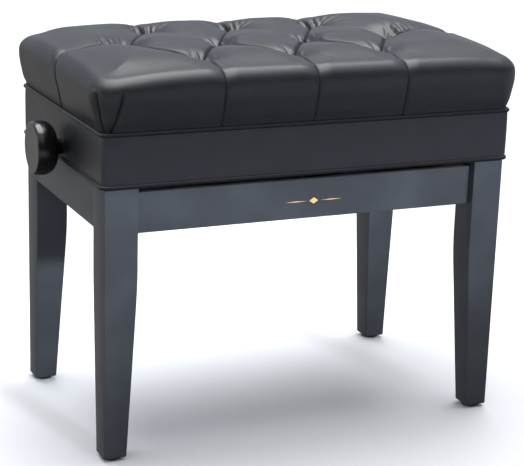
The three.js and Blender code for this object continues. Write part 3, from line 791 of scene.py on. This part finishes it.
def cushion_top(fabric, x, y):
    """The top sheet: crown(inset) lowered by the tufted relief. Gives points and the painted shade of its
    folds and tufts.
    """
    sheet_x, sheet_y = np.meshgrid(x, y)
    round_x, round_y, inset = square_to_round(sheet_x, sheet_y)
    crown = smooth_curve(np.stack([CROWN_INSET, CROWN_DROP], axis=1), np.linspace(0, 1, 400)) * MM
    drop = np.interp(inset, crown[:, 0], crown[:, 1])
    sunk, crease_shade = top_relief(round_x, round_y, fabric)
    points = np.stack([round_x, round_y, CUSHION_CREST - drop], axis=-1)
    waves = soft_waves(points) * 0.40 * MM * smoothstep(4 * MM, 40 * MM, inset)
    tilt = 1 - smoothstep(0, 30 * MM, inset)
    outward = np.stack([round_x / EDGE_X, round_y / EDGE_Y, np.zeros_like(round_x)], axis=-1)
    direction = unit(np.array([0, 0, 1.0]) + unit(outward) * (0.9 * tilt)[..., None])
    return points - direction * (sunk - waves)[..., None], crease_shade


def side_rows(fabric):
    """The side's swell, height, corner radius and height share at rows spaced evenly along its profile."""
    dense = smooth_curve(SIDE_PROFILE, np.linspace(0, 1, 600))
    walked = np.concatenate([[0], np.cumsum(np.linalg.norm(np.diff(dense[:, :2], axis=0), axis=1))])
    levels = int(round(walked[-1] * MM / fabric.cell))
    even = np.linspace(0, walked[-1], levels + 1)
    swell, height, radius = (np.interp(even, walked, column) * MM for column in dense.T)
    tall = EDGE_Z - CUSHION_FOOT
    share = height / height[-1]
    return swell[:, None], (CUSHION_FOOT + share * tall)[:, None], radius[:, None], share[:, None]


def cushion_side(fabric, x, y):
    """The side sheet, from the piping up to the edge line, all the way round. Gives points and the painted
    shade of its seams, darts and foot.

    The outline is split into a core, which stays within the corners' centres, and a normal; a point of a
    level is core * (half size - radius) + normal * radius. The relief is taken off along the normal, which
    tips up near the edge line.
    """
    ring_x = np.concatenate([x[:-1], np.full(len(y) - 1, x[-1]), x[:0:-1], np.full(len(y) - 1, x[0])])
    ring_y = np.concatenate([np.full(len(x) - 1, y[0]), y[:-1], np.full(len(x) - 1, y[-1]), y[:0:-1]])
    round_x, round_y, _ = square_to_round(ring_x, ring_y)
    straight = np.array([EDGE_X - EDGE_RADIUS, EDGE_Y - EDGE_RADIUS])
    plan = np.stack([round_x, round_y], axis=-1)
    core = np.clip(plan / straight, -1, 1)
    normal = unit(plan - core * straight)
    swell, height, radius, share = side_rows(fabric)
    level_x, level_y = EDGE_X + swell, EDGE_Y + swell
    plan_x = core[None, :, 0] * (level_x - radius) + normal[None, :, 0] * radius
    plan_y = core[None, :, 1] * (level_y - radius) + normal[None, :, 1] * radius
    points = np.stack([plan_x, plan_y, np.broadcast_to(height, plan_x.shape)], axis=-1)
    outward = np.stack([normal[:, 0], normal[:, 1], np.zeros(len(normal))], axis=-1)[None]
    rise = smoothstep(0.78, 1.0, share)[..., None]
    direction = unit(outward * (1 - 0.35 * rise) + np.array([0, 0, 1.0]) * rise)
    sunk, crease_shade = side_relief(points, core[None], np.broadcast_to(share, plan_x.shape), fabric)
    dart_sunk, dart_crease = dart_relief(points, level_x, level_y, radius, share)
    around = np.arctan2(plan_y, plan_x)
    pucker = 0.35 * MM * np.sin(140 * around + 3 * np.sin(9 * around)) * np.exp(-share / 0.07)
    waves = soft_waves(points) * 0.4 * MM * np.sin(np.pi * share) ** 2
    depth = sunk + dart_sunk - waves - pucker * (share > 0)
    # Painted shade along the cushion's foot, where it meets the piping.
    foot_crease = np.exp(-(height - CUSHION_FOOT) / (1.6 * MM))
    return points - direction * depth[..., None], np.maximum(np.maximum(crease_shade, dart_crease), foot_crease)


def settle(points):
    """Lets the corners sag: each point sinks by its corner's drop exp(-(r / sag)^2), eased in upwards.

    The rear corners sag most, the left end and the front sit a little lower and the rear right end higher.
    """
    front_drop, rear_drop, sag = 4.5 * MM, 5.5 * MM, 44 * MM
    x, y, z = points.T
    ease = smoothstep(CUSHION_FOOT + 22 * MM, CUSHION_CREST - 16 * MM, z)
    away = np.hypot(EDGE_X - np.abs(x), EDGE_Y - np.abs(y))
    corner = np.where(y < 0, front_drop, rear_drop) * np.exp(-((away / sag) ** 2))
    left = 2.5 * MM * smoothstep(130 * MM, EDGE_X, -x)
    front = 3.5 * MM * smoothstep(30 * MM, EDGE_Y, -y)
    right = 3.0 * MM * smoothstep(90 * MM, 200 * MM, x) * smoothstep(-70 * MM, 70 * MM, y)
    return np.stack([x, y, z - ease * (corner + left + front - right)], axis=1)


def cushion_mesh(fabric):
    """The cushion as one closed skin: top sheet, side sheet and a flat underside.

    The sheets share the top's rim, at the mean of their two edges; the underside is the lowest ring drawn in
    to its middle.
    """
    x, y = sheet_lines(fabric)
    top, top_crease = cushion_top(fabric, x, y)
    side, side_crease = cushion_side(fabric, x, y)
    rows, columns = top.shape[:2]
    index = np.arange(rows * columns).reshape(rows, columns)
    rim = np.concatenate([index[0, :-1], index[:-1, -1], index[-1, :0:-1], index[:0:-1, 0]])
    around, side_levels = len(rim), len(side) - 1
    top_points = top.reshape(-1, 3)
    top_points[rim] = (side[-1] + top_points[rim]) / 2
    base_points = np.repeat(side[0].mean(axis=0)[None], around, axis=0)
    points = settle(np.concatenate([top_points, side[:-1].reshape(-1, 3), base_points]))
    base_ring = len(top_points) + np.arange(around)
    last_ring = base_ring + (side_levels - 1) * around
    centre = base_ring + side_levels * around
    quads = np.concatenate([
        grid_quads(rows, columns),
        grid_quads(side_levels, around, len(top_points), wrap_columns=True),
        np.stack([last_ring, np.roll(last_ring, -1), np.roll(rim, -1), rim], axis=1),
        np.stack([centre, np.roll(centre, -1), np.roll(base_ring, -1), base_ring], axis=1),
    ])
    # The painted shade of the folds, seams, darts and foot; none on the underside.
    crease_shade = np.concatenate([top_crease.ravel(), side_crease[:-1].ravel(), np.zeros(around)])
    return make_mesh("cushion_cover", points, quads, smooth_angle=80, crease_shade=crease_shade)


class BENCH_OT_cushion(bpy.types.Operator):
    """Makes the deep-tufted cushion with its seams, gathers and corner darts"""

    bl_idname = "bench.cushion"
    bl_label = "Cushion"

    def execute(self, context):
        fabric = context.scene.bench_upholstery
        mesh = cushion_mesh(fabric)
        piece = place("cushion_cover", mesh, finish_of("cushion_vinyl"), "seat", ["cushion"])
        return {"FINISHED"}


# ---- band and piping ----------------------------------------------------------------------------
PIPING_CORNER, BAND_CORNER = 8 * MM, 7 * MM
PIPING_OUT = 0.25 * MM            # how far the cord's middle stands out of the band


def band_ring(profile, half_x, half_y, corner, spacing):
    """A profile of (outward, height) carried round a rounded rectangle; the ring closes on itself.

    Gives its points and its path, whose rows are a core point from -1 to 1 and the turn of the normal.
    """
    columns = max(2, int(round(2 * (half_x - corner) / spacing)))
    rows = max(2, int(round(2 * (half_y - corner) / spacing)))
    arc = np.linspace(0, np.pi / 2, 9)[1:-1]
    sides = []
    for core_start, core_end, count, turn in (
        ((-1, -1), (1, -1), columns, -np.pi / 2), ((1, -1), (1, 1), rows, 0.0),
        ((1, 1), (-1, 1), columns, np.pi / 2), ((-1, 1), (-1, -1), rows, np.pi),
    ):
        share = np.linspace(0, 1, count + 1)[:, None]
        core = np.array(core_start) + share * (np.array(core_end) - np.array(core_start))
        sides.append(np.concatenate([core, np.full((count + 1, 1), turn)], axis=1))
        corner_core = np.repeat(np.array([core_end]), len(arc), axis=0)
        sides.append(np.concatenate([corner_core, (turn + arc)[:, None]], axis=1))
    path = np.concatenate(sides)
    normal = np.stack([np.cos(path[:, 2]), np.sin(path[:, 2])], axis=1)
    centre = path[:, :2] * (np.array([half_x, half_y]) - corner)
    out, height = np.asarray(profile).T[..., None]
    plan = centre[None] + normal[None] * (corner + out[..., None])
    height = np.repeat(height, len(path), axis=1)
    return np.concatenate([plan, height[..., None]], axis=-1), path


def piping_mesh(name, fabric, height):
    """A round cord in vinyl round the band: a circle of points carried round the band's outline.

    Its radius wavers by a few hundredths of a millimetre, and dips where the two ends meet on the left end.
    """
    angle = np.linspace(0, 2 * np.pi, 17)[:-1]
    radius = fabric.piping_radius
    circle = np.stack([PIPING_OUT + radius * np.cos(angle), height + radius * np.sin(angle)], axis=1)
    ring, path = band_ring(circle, BAND_X, BAND_Y, PIPING_CORNER, 2.2 * MM)
    centre, _ = band_ring([[PIPING_OUT, height]], BAND_X, BAND_Y, PIPING_CORNER, 2.2 * MM)
    run = np.arange(ring.shape[1])
    waver = 1 + 0.022 * np.sin(run * 0.9 + angle[:, None]) + 0.015 * np.sin(run * 0.37)
    joint = (path[:, 0] <= -1) & (np.abs(ring[0, :, 1] + 2 * MM) < 1.3 * MM)
    waver = waver * np.where(joint, 0.72, 1.0)
    ring = centre + (ring - centre) * waver[..., None]
    quads = grid_quads(*ring.shape[:2], wrap_rows=True, wrap_columns=True)
    return make_mesh(name, ring.reshape(-1, 3), quads, 60)


def band_cover_mesh():
    """Vinyl wrapped round the band's boards: a thin sheet with a slight swell, tucked under the boards.

    The outer face stands out by 0.55 mm (1 - t^4), with t from -1 at its foot to 1 at its top, plus slow
    waves of a tenth of a millimetre.
    """
    low, high = BAND_LOW[2], BAND_HIGH[2]
    middle, half = (low + high) / 2, (high - low) / 2
    rise = np.linspace(-1, 1, 25)
    outer = np.stack([0.55 * MM * (1 - rise**4), middle + half * rise], axis=1)
    inner = np.array([[-0.9 * MM, high], [-0.9 * MM, low + 0.2 * MM], [-0.9 * MM, low - 0.02 * MM],
                      [-14 * MM, low - 0.02 * MM], [-14 * MM, low - 0.8 * MM], [-0.8 * MM, low - 0.8 * MM],
                      [-0.15 * MM, low - 0.5 * MM]])
    ring, _ = band_ring(np.concatenate([outer, inner]), BAND_X, BAND_Y, BAND_CORNER, 6 * MM)
    wrinkle = soft_waves(ring) * 0.10 * MM
    wrinkle[len(outer):] = 0
    outward = unit(np.stack([ring[..., 0] / BAND_X**8 * np.abs(ring[..., 0]) ** 7,
                             ring[..., 1] / BAND_Y**8 * np.abs(ring[..., 1]) ** 7,
                             np.zeros(ring.shape[:2])], axis=-1))
    ring = ring + outward * wrinkle[..., None]
    quads = grid_quads(*ring.shape[:2], wrap_rows=True, wrap_columns=True)
    return make_mesh("band_vinyl", ring.reshape(-1, 3), quads, 50)


class BENCH_OT_band(bpy.types.Operator):
    """Makes the band's vinyl cover and the two rolls of piping"""

    bl_idname = "bench.band"
    bl_label = "Band and piping"

    def execute(self, context):
        fabric = context.scene.bench_upholstery
        place("band_vinyl", band_cover_mesh(), finish_of("vinyl"), "seat", ["band_cover"])
        for node in ("upper_piping", "lower_piping"):
            low, high = extent(node)
            mesh = piping_mesh(f"{node}_roll", fabric, (low[2] + high[2]) / 2)
            place(f"{node}_roll", mesh, finish_of("piping"), "seat", [node])
        return {"FINISHED"}


# ---- legs and rails -----------------------------------------------------------------------------
def leg_rings(wood):
    """A leg's outlines, its outer corner on the z axis and its inner faces towards +x and +y.

    The section is a square whose inner faces run in by slope * eased(depth below the taper's start), where
    eased is a parabola over the taper's curve and straight below it. Its inner corner is cut flat beside the
    rails, and the cut runs out just below them. The corners beside a rail are nearly sharp.
    """
    top, foot = LEG_HIGH[2], LEG_LOW[2]
    size = LEG_HIGH[0] - LEG_LOW[0]
    bevel = 1.2 * MM
    rail_bottom = extent("apron_front")[0][2]
    run_out = rail_bottom - 8 * MM
    taper_marks = [foot, foot + 0.5 * MM, foot + bevel, 120 * MM, 190 * MM]
    eased_marks = np.linspace(wood.taper_top - wood.taper_curve, wood.taper_top, 13)
    flat_marks = np.linspace(run_out - 1 * MM, rail_bottom + 1 * MM, 9)
    top_marks = [JOINT_BOTTOM, top - bevel, top - 0.5 * MM, top]
    height = np.concatenate([taper_marks, eased_marks, flat_marks, top_marks])
    slope = (size - wood.foot) / (wood.taper_top - wood.taper_curve / 2 - foot)
    below = np.clip(wood.taper_top - height, 0, None)
    curve = wood.taper_curve
    eased = np.where(below < curve, below**2 / (2 * curve), below - curve / 2)
    section = size - slope * eased
    cut = wood.arris + (wood.flat - wood.arris) * np.clip((height - run_out) / (rail_bottom - run_out), 0, 1)
    shrink = np.interp(height, [foot, foot + bevel, top - bevel, top], [0.9 * MM, 0, 0, 0.5 * MM])
    rings = []
    for level, width, flat, inset in zip(height, section, cut, shrink):
        joint = 0.12 * MM if level > JOINT_BOTTOM - 0.1 * MM else wood.arris
        near, far = inset, width - inset
        corners = [(near, near), (far, near), (far, far - flat), (far - flat, far), (near, far)]
        radii = [wood.arris, joint, wood.arris * 0.8, wood.arris * 0.8, joint]
        plan = rounded_outline(corners, radii)
        rings.append(np.concatenate([plan, np.full((len(plan), 1), level)], axis=1))
    return np.array(rings)


def board(low, high, arris, along):
    """A board with its four long edges rounded: a rounded rectangle carried along one axis."""
    low, high = np.asarray(low, float), np.asarray(high, float)
    run = "xyz".index(along)
    across = [(run + 1) % 3, (run + 2) % 3]
    (u0, v0), (u1, v1) = low[across], high[across]
    plan = rounded_outline([(u0, v0), (u1, v0), (u1, v1), (u0, v1)], [arris] * 4)
    stations = np.linspace(low[run], high[run], 9)
    rings = np.zeros((len(stations), len(plan), 3))
    rings[..., run] = stations[:, None]
    rings[..., across[0]] = plan[None, :, 0]
    rings[..., across[1]] = plan[None, :, 1]
    return closed_rings(rings)


class BENCH_OT_legs(bpy.types.Operator):
    """Makes the four tapered legs and their glides"""

    bl_idname = "bench.legs"
    bl_label = "Legs and glides"

    def execute(self, context):
        wood = context.scene.bench_joinery
        rings = leg_rings(wood)
        for side_y, name_y in ((-1, "front"), (1, "rear")):
            for side_x, name_x in ((-1, "left"), (1, "right")):
                corner = f"{name_y}_{name_x}"
                node = f"leg_{corner}"
                low, high = extent(node)
                outer = np.array([low[0] if side_x < 0 else high[0], low[1] if side_y < 0 else high[1], 0])
                placed = rings * np.array([-side_x, -side_y, 1]) + outer
                mesh = make_mesh(f"turned_leg_{corner}", *closed_rings(placed), smooth_angle=30)
                place(f"lacquered_{node}", mesh, finish_of("lacquer"), "frame", [node])
                self.add_glide(corner)
        return {"FINISHED"}

    def add_glide(self, corner):
        """A moulded glide: a disc with a rounded rim and the dimple of its nail."""
        low, high = extent(f"glide_{corner}")
        radius, rise = (high[0] - low[0]) / 2, high[2]
        dimple = [(0.6 * MM, 0), (0.6 * MM, 2.2 * MM), (0.1 * MM, 3.1 * MM), (0, 3.6 * MM)]
        rim = [(0, radius - 1.6 * MM), (0.5 * MM, radius - 0.5 * MM), (1.6 * MM, radius)]
        back = [(rise - 0.4 * MM, radius), (rise, radius - 0.4 * MM), (rise, 0)]
        profile = np.array(dimple + rim + back)
        centre = ((low[0] + high[0]) / 2, (low[1] + high[1]) / 2, 0)
        mesh = make_mesh(f"moulded_glide_{corner}", *turned(profile, 40, "z", centre))
        place(f"moulded_glide_{corner}", mesh, finish_of("nylon"), "frame", [f"glide_{corner}"])


class BENCH_OT_rails(bpy.types.Operator):
    """Makes the aprons, the end rails and the corner blocks' wood"""

    bl_idname = "bench.rails"
    bl_label = "Aprons and end rails"

    def execute(self, context):
        wood = context.scene.bench_joinery
        for node in ("apron_front", "apron_rear", "end_rail_left", "end_rail_right"):
            along = "x" if node.startswith("apron") else "y"
            low, high = extent(node)
            mesh = make_mesh(f"lacquered_{node}", *board(low, high, wood.arris * 0.75, along))
            place(f"lacquered_{node}", mesh, finish_of("lacquer"), "frame", [node])
        for name, node in frame["nodes"].items():
            if name.startswith("corner_block"):
                repaint(node, "block_wood")
        return {"FINISHED"}


# The inlay's pieces in millimetres: name, place along the apron, half length and half height.
INLAY = (("lozenge", 0, 6.0, 4.0), ("line_left", -24, 15, 0.7), ("line_right", 24, 15, 0.7))


class BENCH_OT_inlay(bpy.types.Operator):
    """Makes the small brass inlay on the front apron: a lozenge between two fine lines"""

    bl_idname = "bench.inlay"
    bl_label = "Apron inlay"

    def execute(self, context):
        low, high = extent("apron_front")
        centre = np.array([5 * MM, low[1], (low[2] + high[2]) / 2 - 3 * MM])
        for name, offset, half_x, half_z in INLAY:
            middle = centre + np.array([offset * MM, 0, 0])
            mesh = lozenge_mesh(f"inlay_{name}", middle, half_x * MM, half_z * MM)
            place(f"inlay_{name}", mesh, finish_of("inlay"), "frame")
        return {"FINISHED"}


def lozenge_mesh(name, centre, half_x, half_z):
    """A thin lozenge with a bevelled face: rings |x / a| + |z / b| = k stacked towards the front."""
    corner = np.array([(1, 0), (0, 1), (-1, 0), (0, -1)], float)
    share = np.linspace(0, 1, 7)[:-1, None]
    outline = np.concatenate([corner[i] + share * (corner[(i + 1) % 4] - corner[i]) for i in range(4)])
    rings = []
    for scale, front in ((1.0, -0.2 * MM), (1.0, 0.12 * MM), (0.86, 0.3 * MM)):
        plan = outline * np.array([half_x, half_z]) * scale
        rings.append(np.stack([centre[0] + plan[:, 0], np.full(len(plan), centre[1] - front),
                               centre[2] + plan[:, 1]], axis=1))
    return make_mesh(name, *closed_rings(np.array(rings)), smooth_angle=20)


# ---- knobs and lift -----------------------------------------------------------------------------
def knob_profile(depth, radius):
    """Points of (along, radius) from the knob's face to its neck.

    The face is dished by 0.25 mm (1 - t^2), its rim swells to the full radius, and the back edge is a quarter
    circle that ends in a flat ring round the neck. The neck is bored for the spindle.
    """
    dish, fullest, back_round, bore, bore_depth = np.array([0.25, 13.0, 15.0, 7.3, 15.0]) * MM
    share = np.linspace(0, 1, 12)
    face = np.stack([dish * (1 - share**2), share * (radius - 4.2 * MM)], axis=1)
    station = np.array([0.0, 0.3, 1.1, 3.2, 7.5, 13.0]) * MM
    inset = np.array([3.9, 2.7, 1.7, 0.8, 0.15, 0.0]) * MM
    along = np.concatenate([np.linspace(0, 3.2, 12)[:-1], np.linspace(3.2, 13, 10)]) * MM
    rim = np.stack([along, radius - spline(station, inset, along)], axis=1)
    turn = np.linspace(0, np.pi / 2, 22)[1:]
    back = np.stack([fullest + back_round * np.sin(turn), radius - back_round * (1 - np.cos(turn))], axis=1)
    neck = np.array([(28.1, 15.0), (28.5, 12.2), (29.6, 10.4), (31.4, 9.5)]) * MM
    end = np.array([(depth, 9.2 * MM), (depth, bore), (depth - bore_depth, bore), (depth - bore_depth, 0)])
    return np.concatenate([face, rim, back, neck, end])


def repaint(node, finish):
    """Gives a CAD node a finish in place of its plain one."""
    node.data.materials.clear()
    node.data.materials.append(finish_of(finish))


class BENCH_OT_knobs(bpy.types.Operator):
    """Makes the two mushroom knobs"""

    bl_idname = "bench.knobs"
    bl_label = "Knobs"

    def execute(self, context):
        for side, sign in (("left", -1), ("right", 1)):
            low, high = extent(f"knob_{side}")
            profile = knob_profile(high[0] - low[0], (high[2] - low[2]) / 2)
            face = low[0] if sign < 0 else high[0]
            points, quads = turned(profile, 96, "x")
            points = points * np.array([-sign, 1, 1]) + np.array([face, 0, (low[2] + high[2]) / 2])
            mesh = make_mesh(f"polished_knob_{side}", points, quads, smooth_angle=40)
            place(f"polished_knob_{side}", mesh, finish_of("knob"), "spindle", [f"knob_{side}"])
        return {"FINISHED"}


def spindle_mesh(metal):
    """The spindle: plain journals and a thread, radius = r - depth * tooth(x / lead - angle / turn)."""
    sides, stations_a_turn, bevel = 24, 7, 0.8 * MM
    low, high = extent("spindle")
    radius, centre = (high[2] - low[2]) / 2, (high[2] + low[2]) / 2
    threaded = extent("bearing_bracket_right")[0][0] - 6 * MM
    steps = int(round(2 * threaded / (metal.thread_lead / stations_a_turn)))
    along = np.concatenate([[low[0], low[0] + bevel], np.linspace(-threaded, threaded, steps),
                            [high[0] - bevel, high[0]]])
    angle = np.linspace(0, 2 * np.pi, sides, endpoint=False)
    phase = np.mod(along[:, None] / metal.thread_lead - angle[None] / (2 * np.pi), 1)
    tooth = np.clip(2.4 * np.abs(phase - 0.5) - 0.1, 0, 1)
    on_thread = 1 - smoothstep(threaded - 3 * MM, threaded, np.abs(along))
    depth = metal.thread_depth * tooth * on_thread[:, None]
    size = np.full(len(along), radius)
    size[[0, -1]] -= bevel
    reach = size[:, None] - depth
    level = np.repeat(along[:, None], sides, axis=1)
    rings = np.stack([level, reach * np.cos(angle), centre + reach * np.sin(angle)], axis=-1)
    return make_mesh("threaded_spindle", *closed_rings(rings), smooth_angle=50)


class BENCH_OT_lift(bpy.types.Operator):
    """Makes the threaded spindle and finishes the scissor lift and the boards above it"""

    bl_idname = "bench.lift"
    bl_label = "Lift and seat boards"

    def execute(self, context):
        mesh = spindle_mesh(context.scene.bench_hardware)
        place("threaded_spindle", mesh, finish_of("spindle_steel"), "spindle", ["spindle"])
        slots = {part["node"]: part["material_slot"] for part in frame["record"]["subparts"]}
        shown = {"black_steel", "bright_steel", "brass", "nylon", "plywood"}
        for name, node in frame["nodes"].items():
            if slots[name] in shown and not name.startswith("corner_block") and not node.hide_render:
                repaint(node, slots[name])
        return {"FINISHED"}


# ---- stage --------------------------------------------------------------------------------------
CAMERA_AT = (-0.8250, -1.8114, 0.7886)
SENSOR = 36                       # the camera sensor's width in millimetres
FLAT_FLOOR, FLOOR_REACH, FLOOR_CURVE = 6.0, 9.5, 0.35


def show(name, data, at=(0, 0, 0)):
    """An object of the stage, at its place."""
    item = bpy.data.objects.new(name, data)
    item.location = at
    bpy.context.scene.collection.objects.link(item)
    return item


def area_light(name, at, target, size, power_in, tint, spread=180):
    """A soft rectangular light that faces a point; a spread under 180 degrees makes a beam without glints."""
    light = bpy.data.lights.new(name, "AREA")
    light.spread = np.radians(spread)
    light.shape, light.size, light.size_y = "RECTANGLE", size[0], size[1]
    light.energy, light.color = power_in, tint
    lamp = show(name, light, at)
    lamp.rotation_euler = (Vector(target) - Vector(at)).to_track_quat("-Z", "Y").to_euler()
    lamp.visible_glossy = spread == 180


class BENCH_OT_stage(bpy.types.Operator):
    """Makes the pale floor, the lights, the room and the camera"""

    bl_idname = "bench.stage"
    bl_label = "Stage"

    def execute(self, context):
        stage = context.scene.bench_stage
        self.add_floor(stage)
        self.add_lights(stage)
        self.add_camera(stage)
        return {"FINISHED"}

    def add_floor(self, stage):
        """A flat disc that curves up all round, rise = curve (r - flat)^2; reflections don't show it."""
        around = np.linspace(0, 2 * np.pi, 96, endpoint=False)
        reach = np.concatenate([[0.0, FLAT_FLOOR / 2], np.linspace(FLAT_FLOOR, FLOOR_REACH, 14)])[:, None]
        rise = FLOOR_CURVE * np.clip(reach - FLAT_FLOOR, 0, None) ** 2
        rise = np.repeat(rise, len(around), axis=1)
        points = np.stack([reach * np.cos(around), reach * np.sin(around), rise], axis=-1).reshape(-1, 3)
        floor = show("floor", make_mesh("floor", points, grid_quads(*rise.shape, wrap_columns=True)))
        finish = Finish("pale_floor", stage.floor)
        speckle = finish.noise(finish.object_place(), 90.0)
        finish.set(Roughness=0.6 + speckle * 0.1)
        floor.data.materials.append(finish.material)
        floor.visible_glossy = False

    def add_lights(self, stage):
        """A wide overhead light, a beam on the front, a soft light at the left, and the room round them."""
        self.add_room(stage)
        sun = bpy.data.lights.new("overhead", "SUN")
        sun.energy, sun.angle, sun.color = stage.key_power, stage.key_spread, (0.975, 0.985, 1.0)
        show("overhead", sun).rotation_euler = Euler((np.radians(-12), np.radians(6), 0))
        area_light("front", (0.5, -2.2, 1.15), (0, -0.16, 0.295), (1.6, 0.16), stage.front_power,
                   (0.86, 0.92, 1.0), spread=11)
        area_light("left", (-2.6, 0.6, 1.0), (0, 0, 0.3), (1.0, 0.8), stage.side_power, (1.0, 1.0, 0.95))
        bpy.context.scene.view_settings.view_transform = "Standard"

    def add_room(self, stage):
        """The world by direction: dim in front, paler behind, bright overhead, and a low room fading down."""
        world = bpy.data.worlds.new("studio")
        bpy.context.scene.world = world
        world.use_nodes = True
        sky = Nodes(world.node_tree)
        direction = sky.node("ShaderNodeTexCoord", output="Generated")
        backwards, upwards = sky.part(direction, "Y"), sky.part(direction, "Z")
        room = sky.mix(backwards.between(-0.6, 0.9), opaque(stage.room_front), opaque(stage.room_back))
        room = sky.mix(upwards.between(0.35, 0.95), room, opaque(stage.ceiling))
        low = sky.mix(backwards.between(-0.6, 0.6), opaque(stage.low_front), opaque(stage.low_back))
        low = sky.mix(upwards.between(-0.62, -0.28), opaque(stage.low_back, 0.15), low)
        room = sky.mix(upwards.between(-0.14, 0.06), low, room)
        sky.feed(world.node_tree.nodes["Background"].inputs["Color"], room)

    def add_camera(self, stage):
        """A camera turned by yaw, pitch and roll, standing back from the bench's middle."""
        data = bpy.data.cameras.new("camera")
        data.lens, data.sensor_width = stage.lens, SENSOR
        data.clip_start, data.clip_end = 0.05, 60
        camera = show("camera", data)
        yaw, pitch, roll = stage.yaw, stage.pitch, stage.roll
        forward = Vector((np.sin(yaw) * np.cos(pitch), np.cos(yaw) * np.cos(pitch), -np.sin(pitch)))
        right = Vector((np.cos(yaw), -np.sin(yaw), 0))
        down = forward.cross(right)
        tilted_right = right * np.cos(roll) - down * np.sin(roll)
        tilted_down = right * np.sin(roll) + down * np.cos(roll)
        turn = Matrix((tilted_right, -tilted_down, -forward)).transposed()
        camera.matrix_world = Matrix.Translation(CAMERA_AT) @ turn.to_4x4()
        bpy.context.scene.camera = camera


# ---- panel and registration ---------------------------------------------------------------------
PIECES = (BENCH_OT_legs, BENCH_OT_rails, BENCH_OT_inlay, BENCH_OT_band, BENCH_OT_cushion, BENCH_OT_knobs,
          BENCH_OT_lift, BENCH_OT_stage)
SETTINGS = {
    "bench_upholstery": BenchUpholstery, "bench_joinery": BenchJoinery,
    "bench_hardware": BenchHardware, "bench_stage": BenchStage,
}


class BENCH_PT_pieces(bpy.types.Panel):
    """Lists the bench's pieces and their sizes"""

    bl_idname = "BENCH_PT_pieces"
    bl_label = "Piano bench"
    bl_space_type = "VIEW_3D"
    bl_region_type = "UI"
    bl_category = "Bench"

    def draw(self, context):
        for piece in PIECES:
            self.layout.operator(piece.bl_idname)
        for name in SETTINGS:
            group = getattr(context.scene, name)
            for field in group.__annotations__:
                self.layout.prop(group, field)


def register():
    for group in SETTINGS.values():
        bpy.utils.register_class(group)
    for piece in PIECES:
        bpy.utils.register_class(piece)
    bpy.utils.register_class(BENCH_PT_pieces)
    for name, group in SETTINGS.items():
        setattr(bpy.types.Scene, name, PointerProperty(type=group))


def unregister():
    for name in SETTINGS:
        delattr(bpy.types.Scene, name)
    for item in (BENCH_PT_pieces, *PIECES, *SETTINGS.values()):
        bpy.utils.unregister_class(item)


def main():
    register()
    for piece in PIECES:
        group, name = piece.bl_idname.split(".")
        getattr(getattr(bpy.ops, group), name)()


if __name__ == "__main__":
    main()
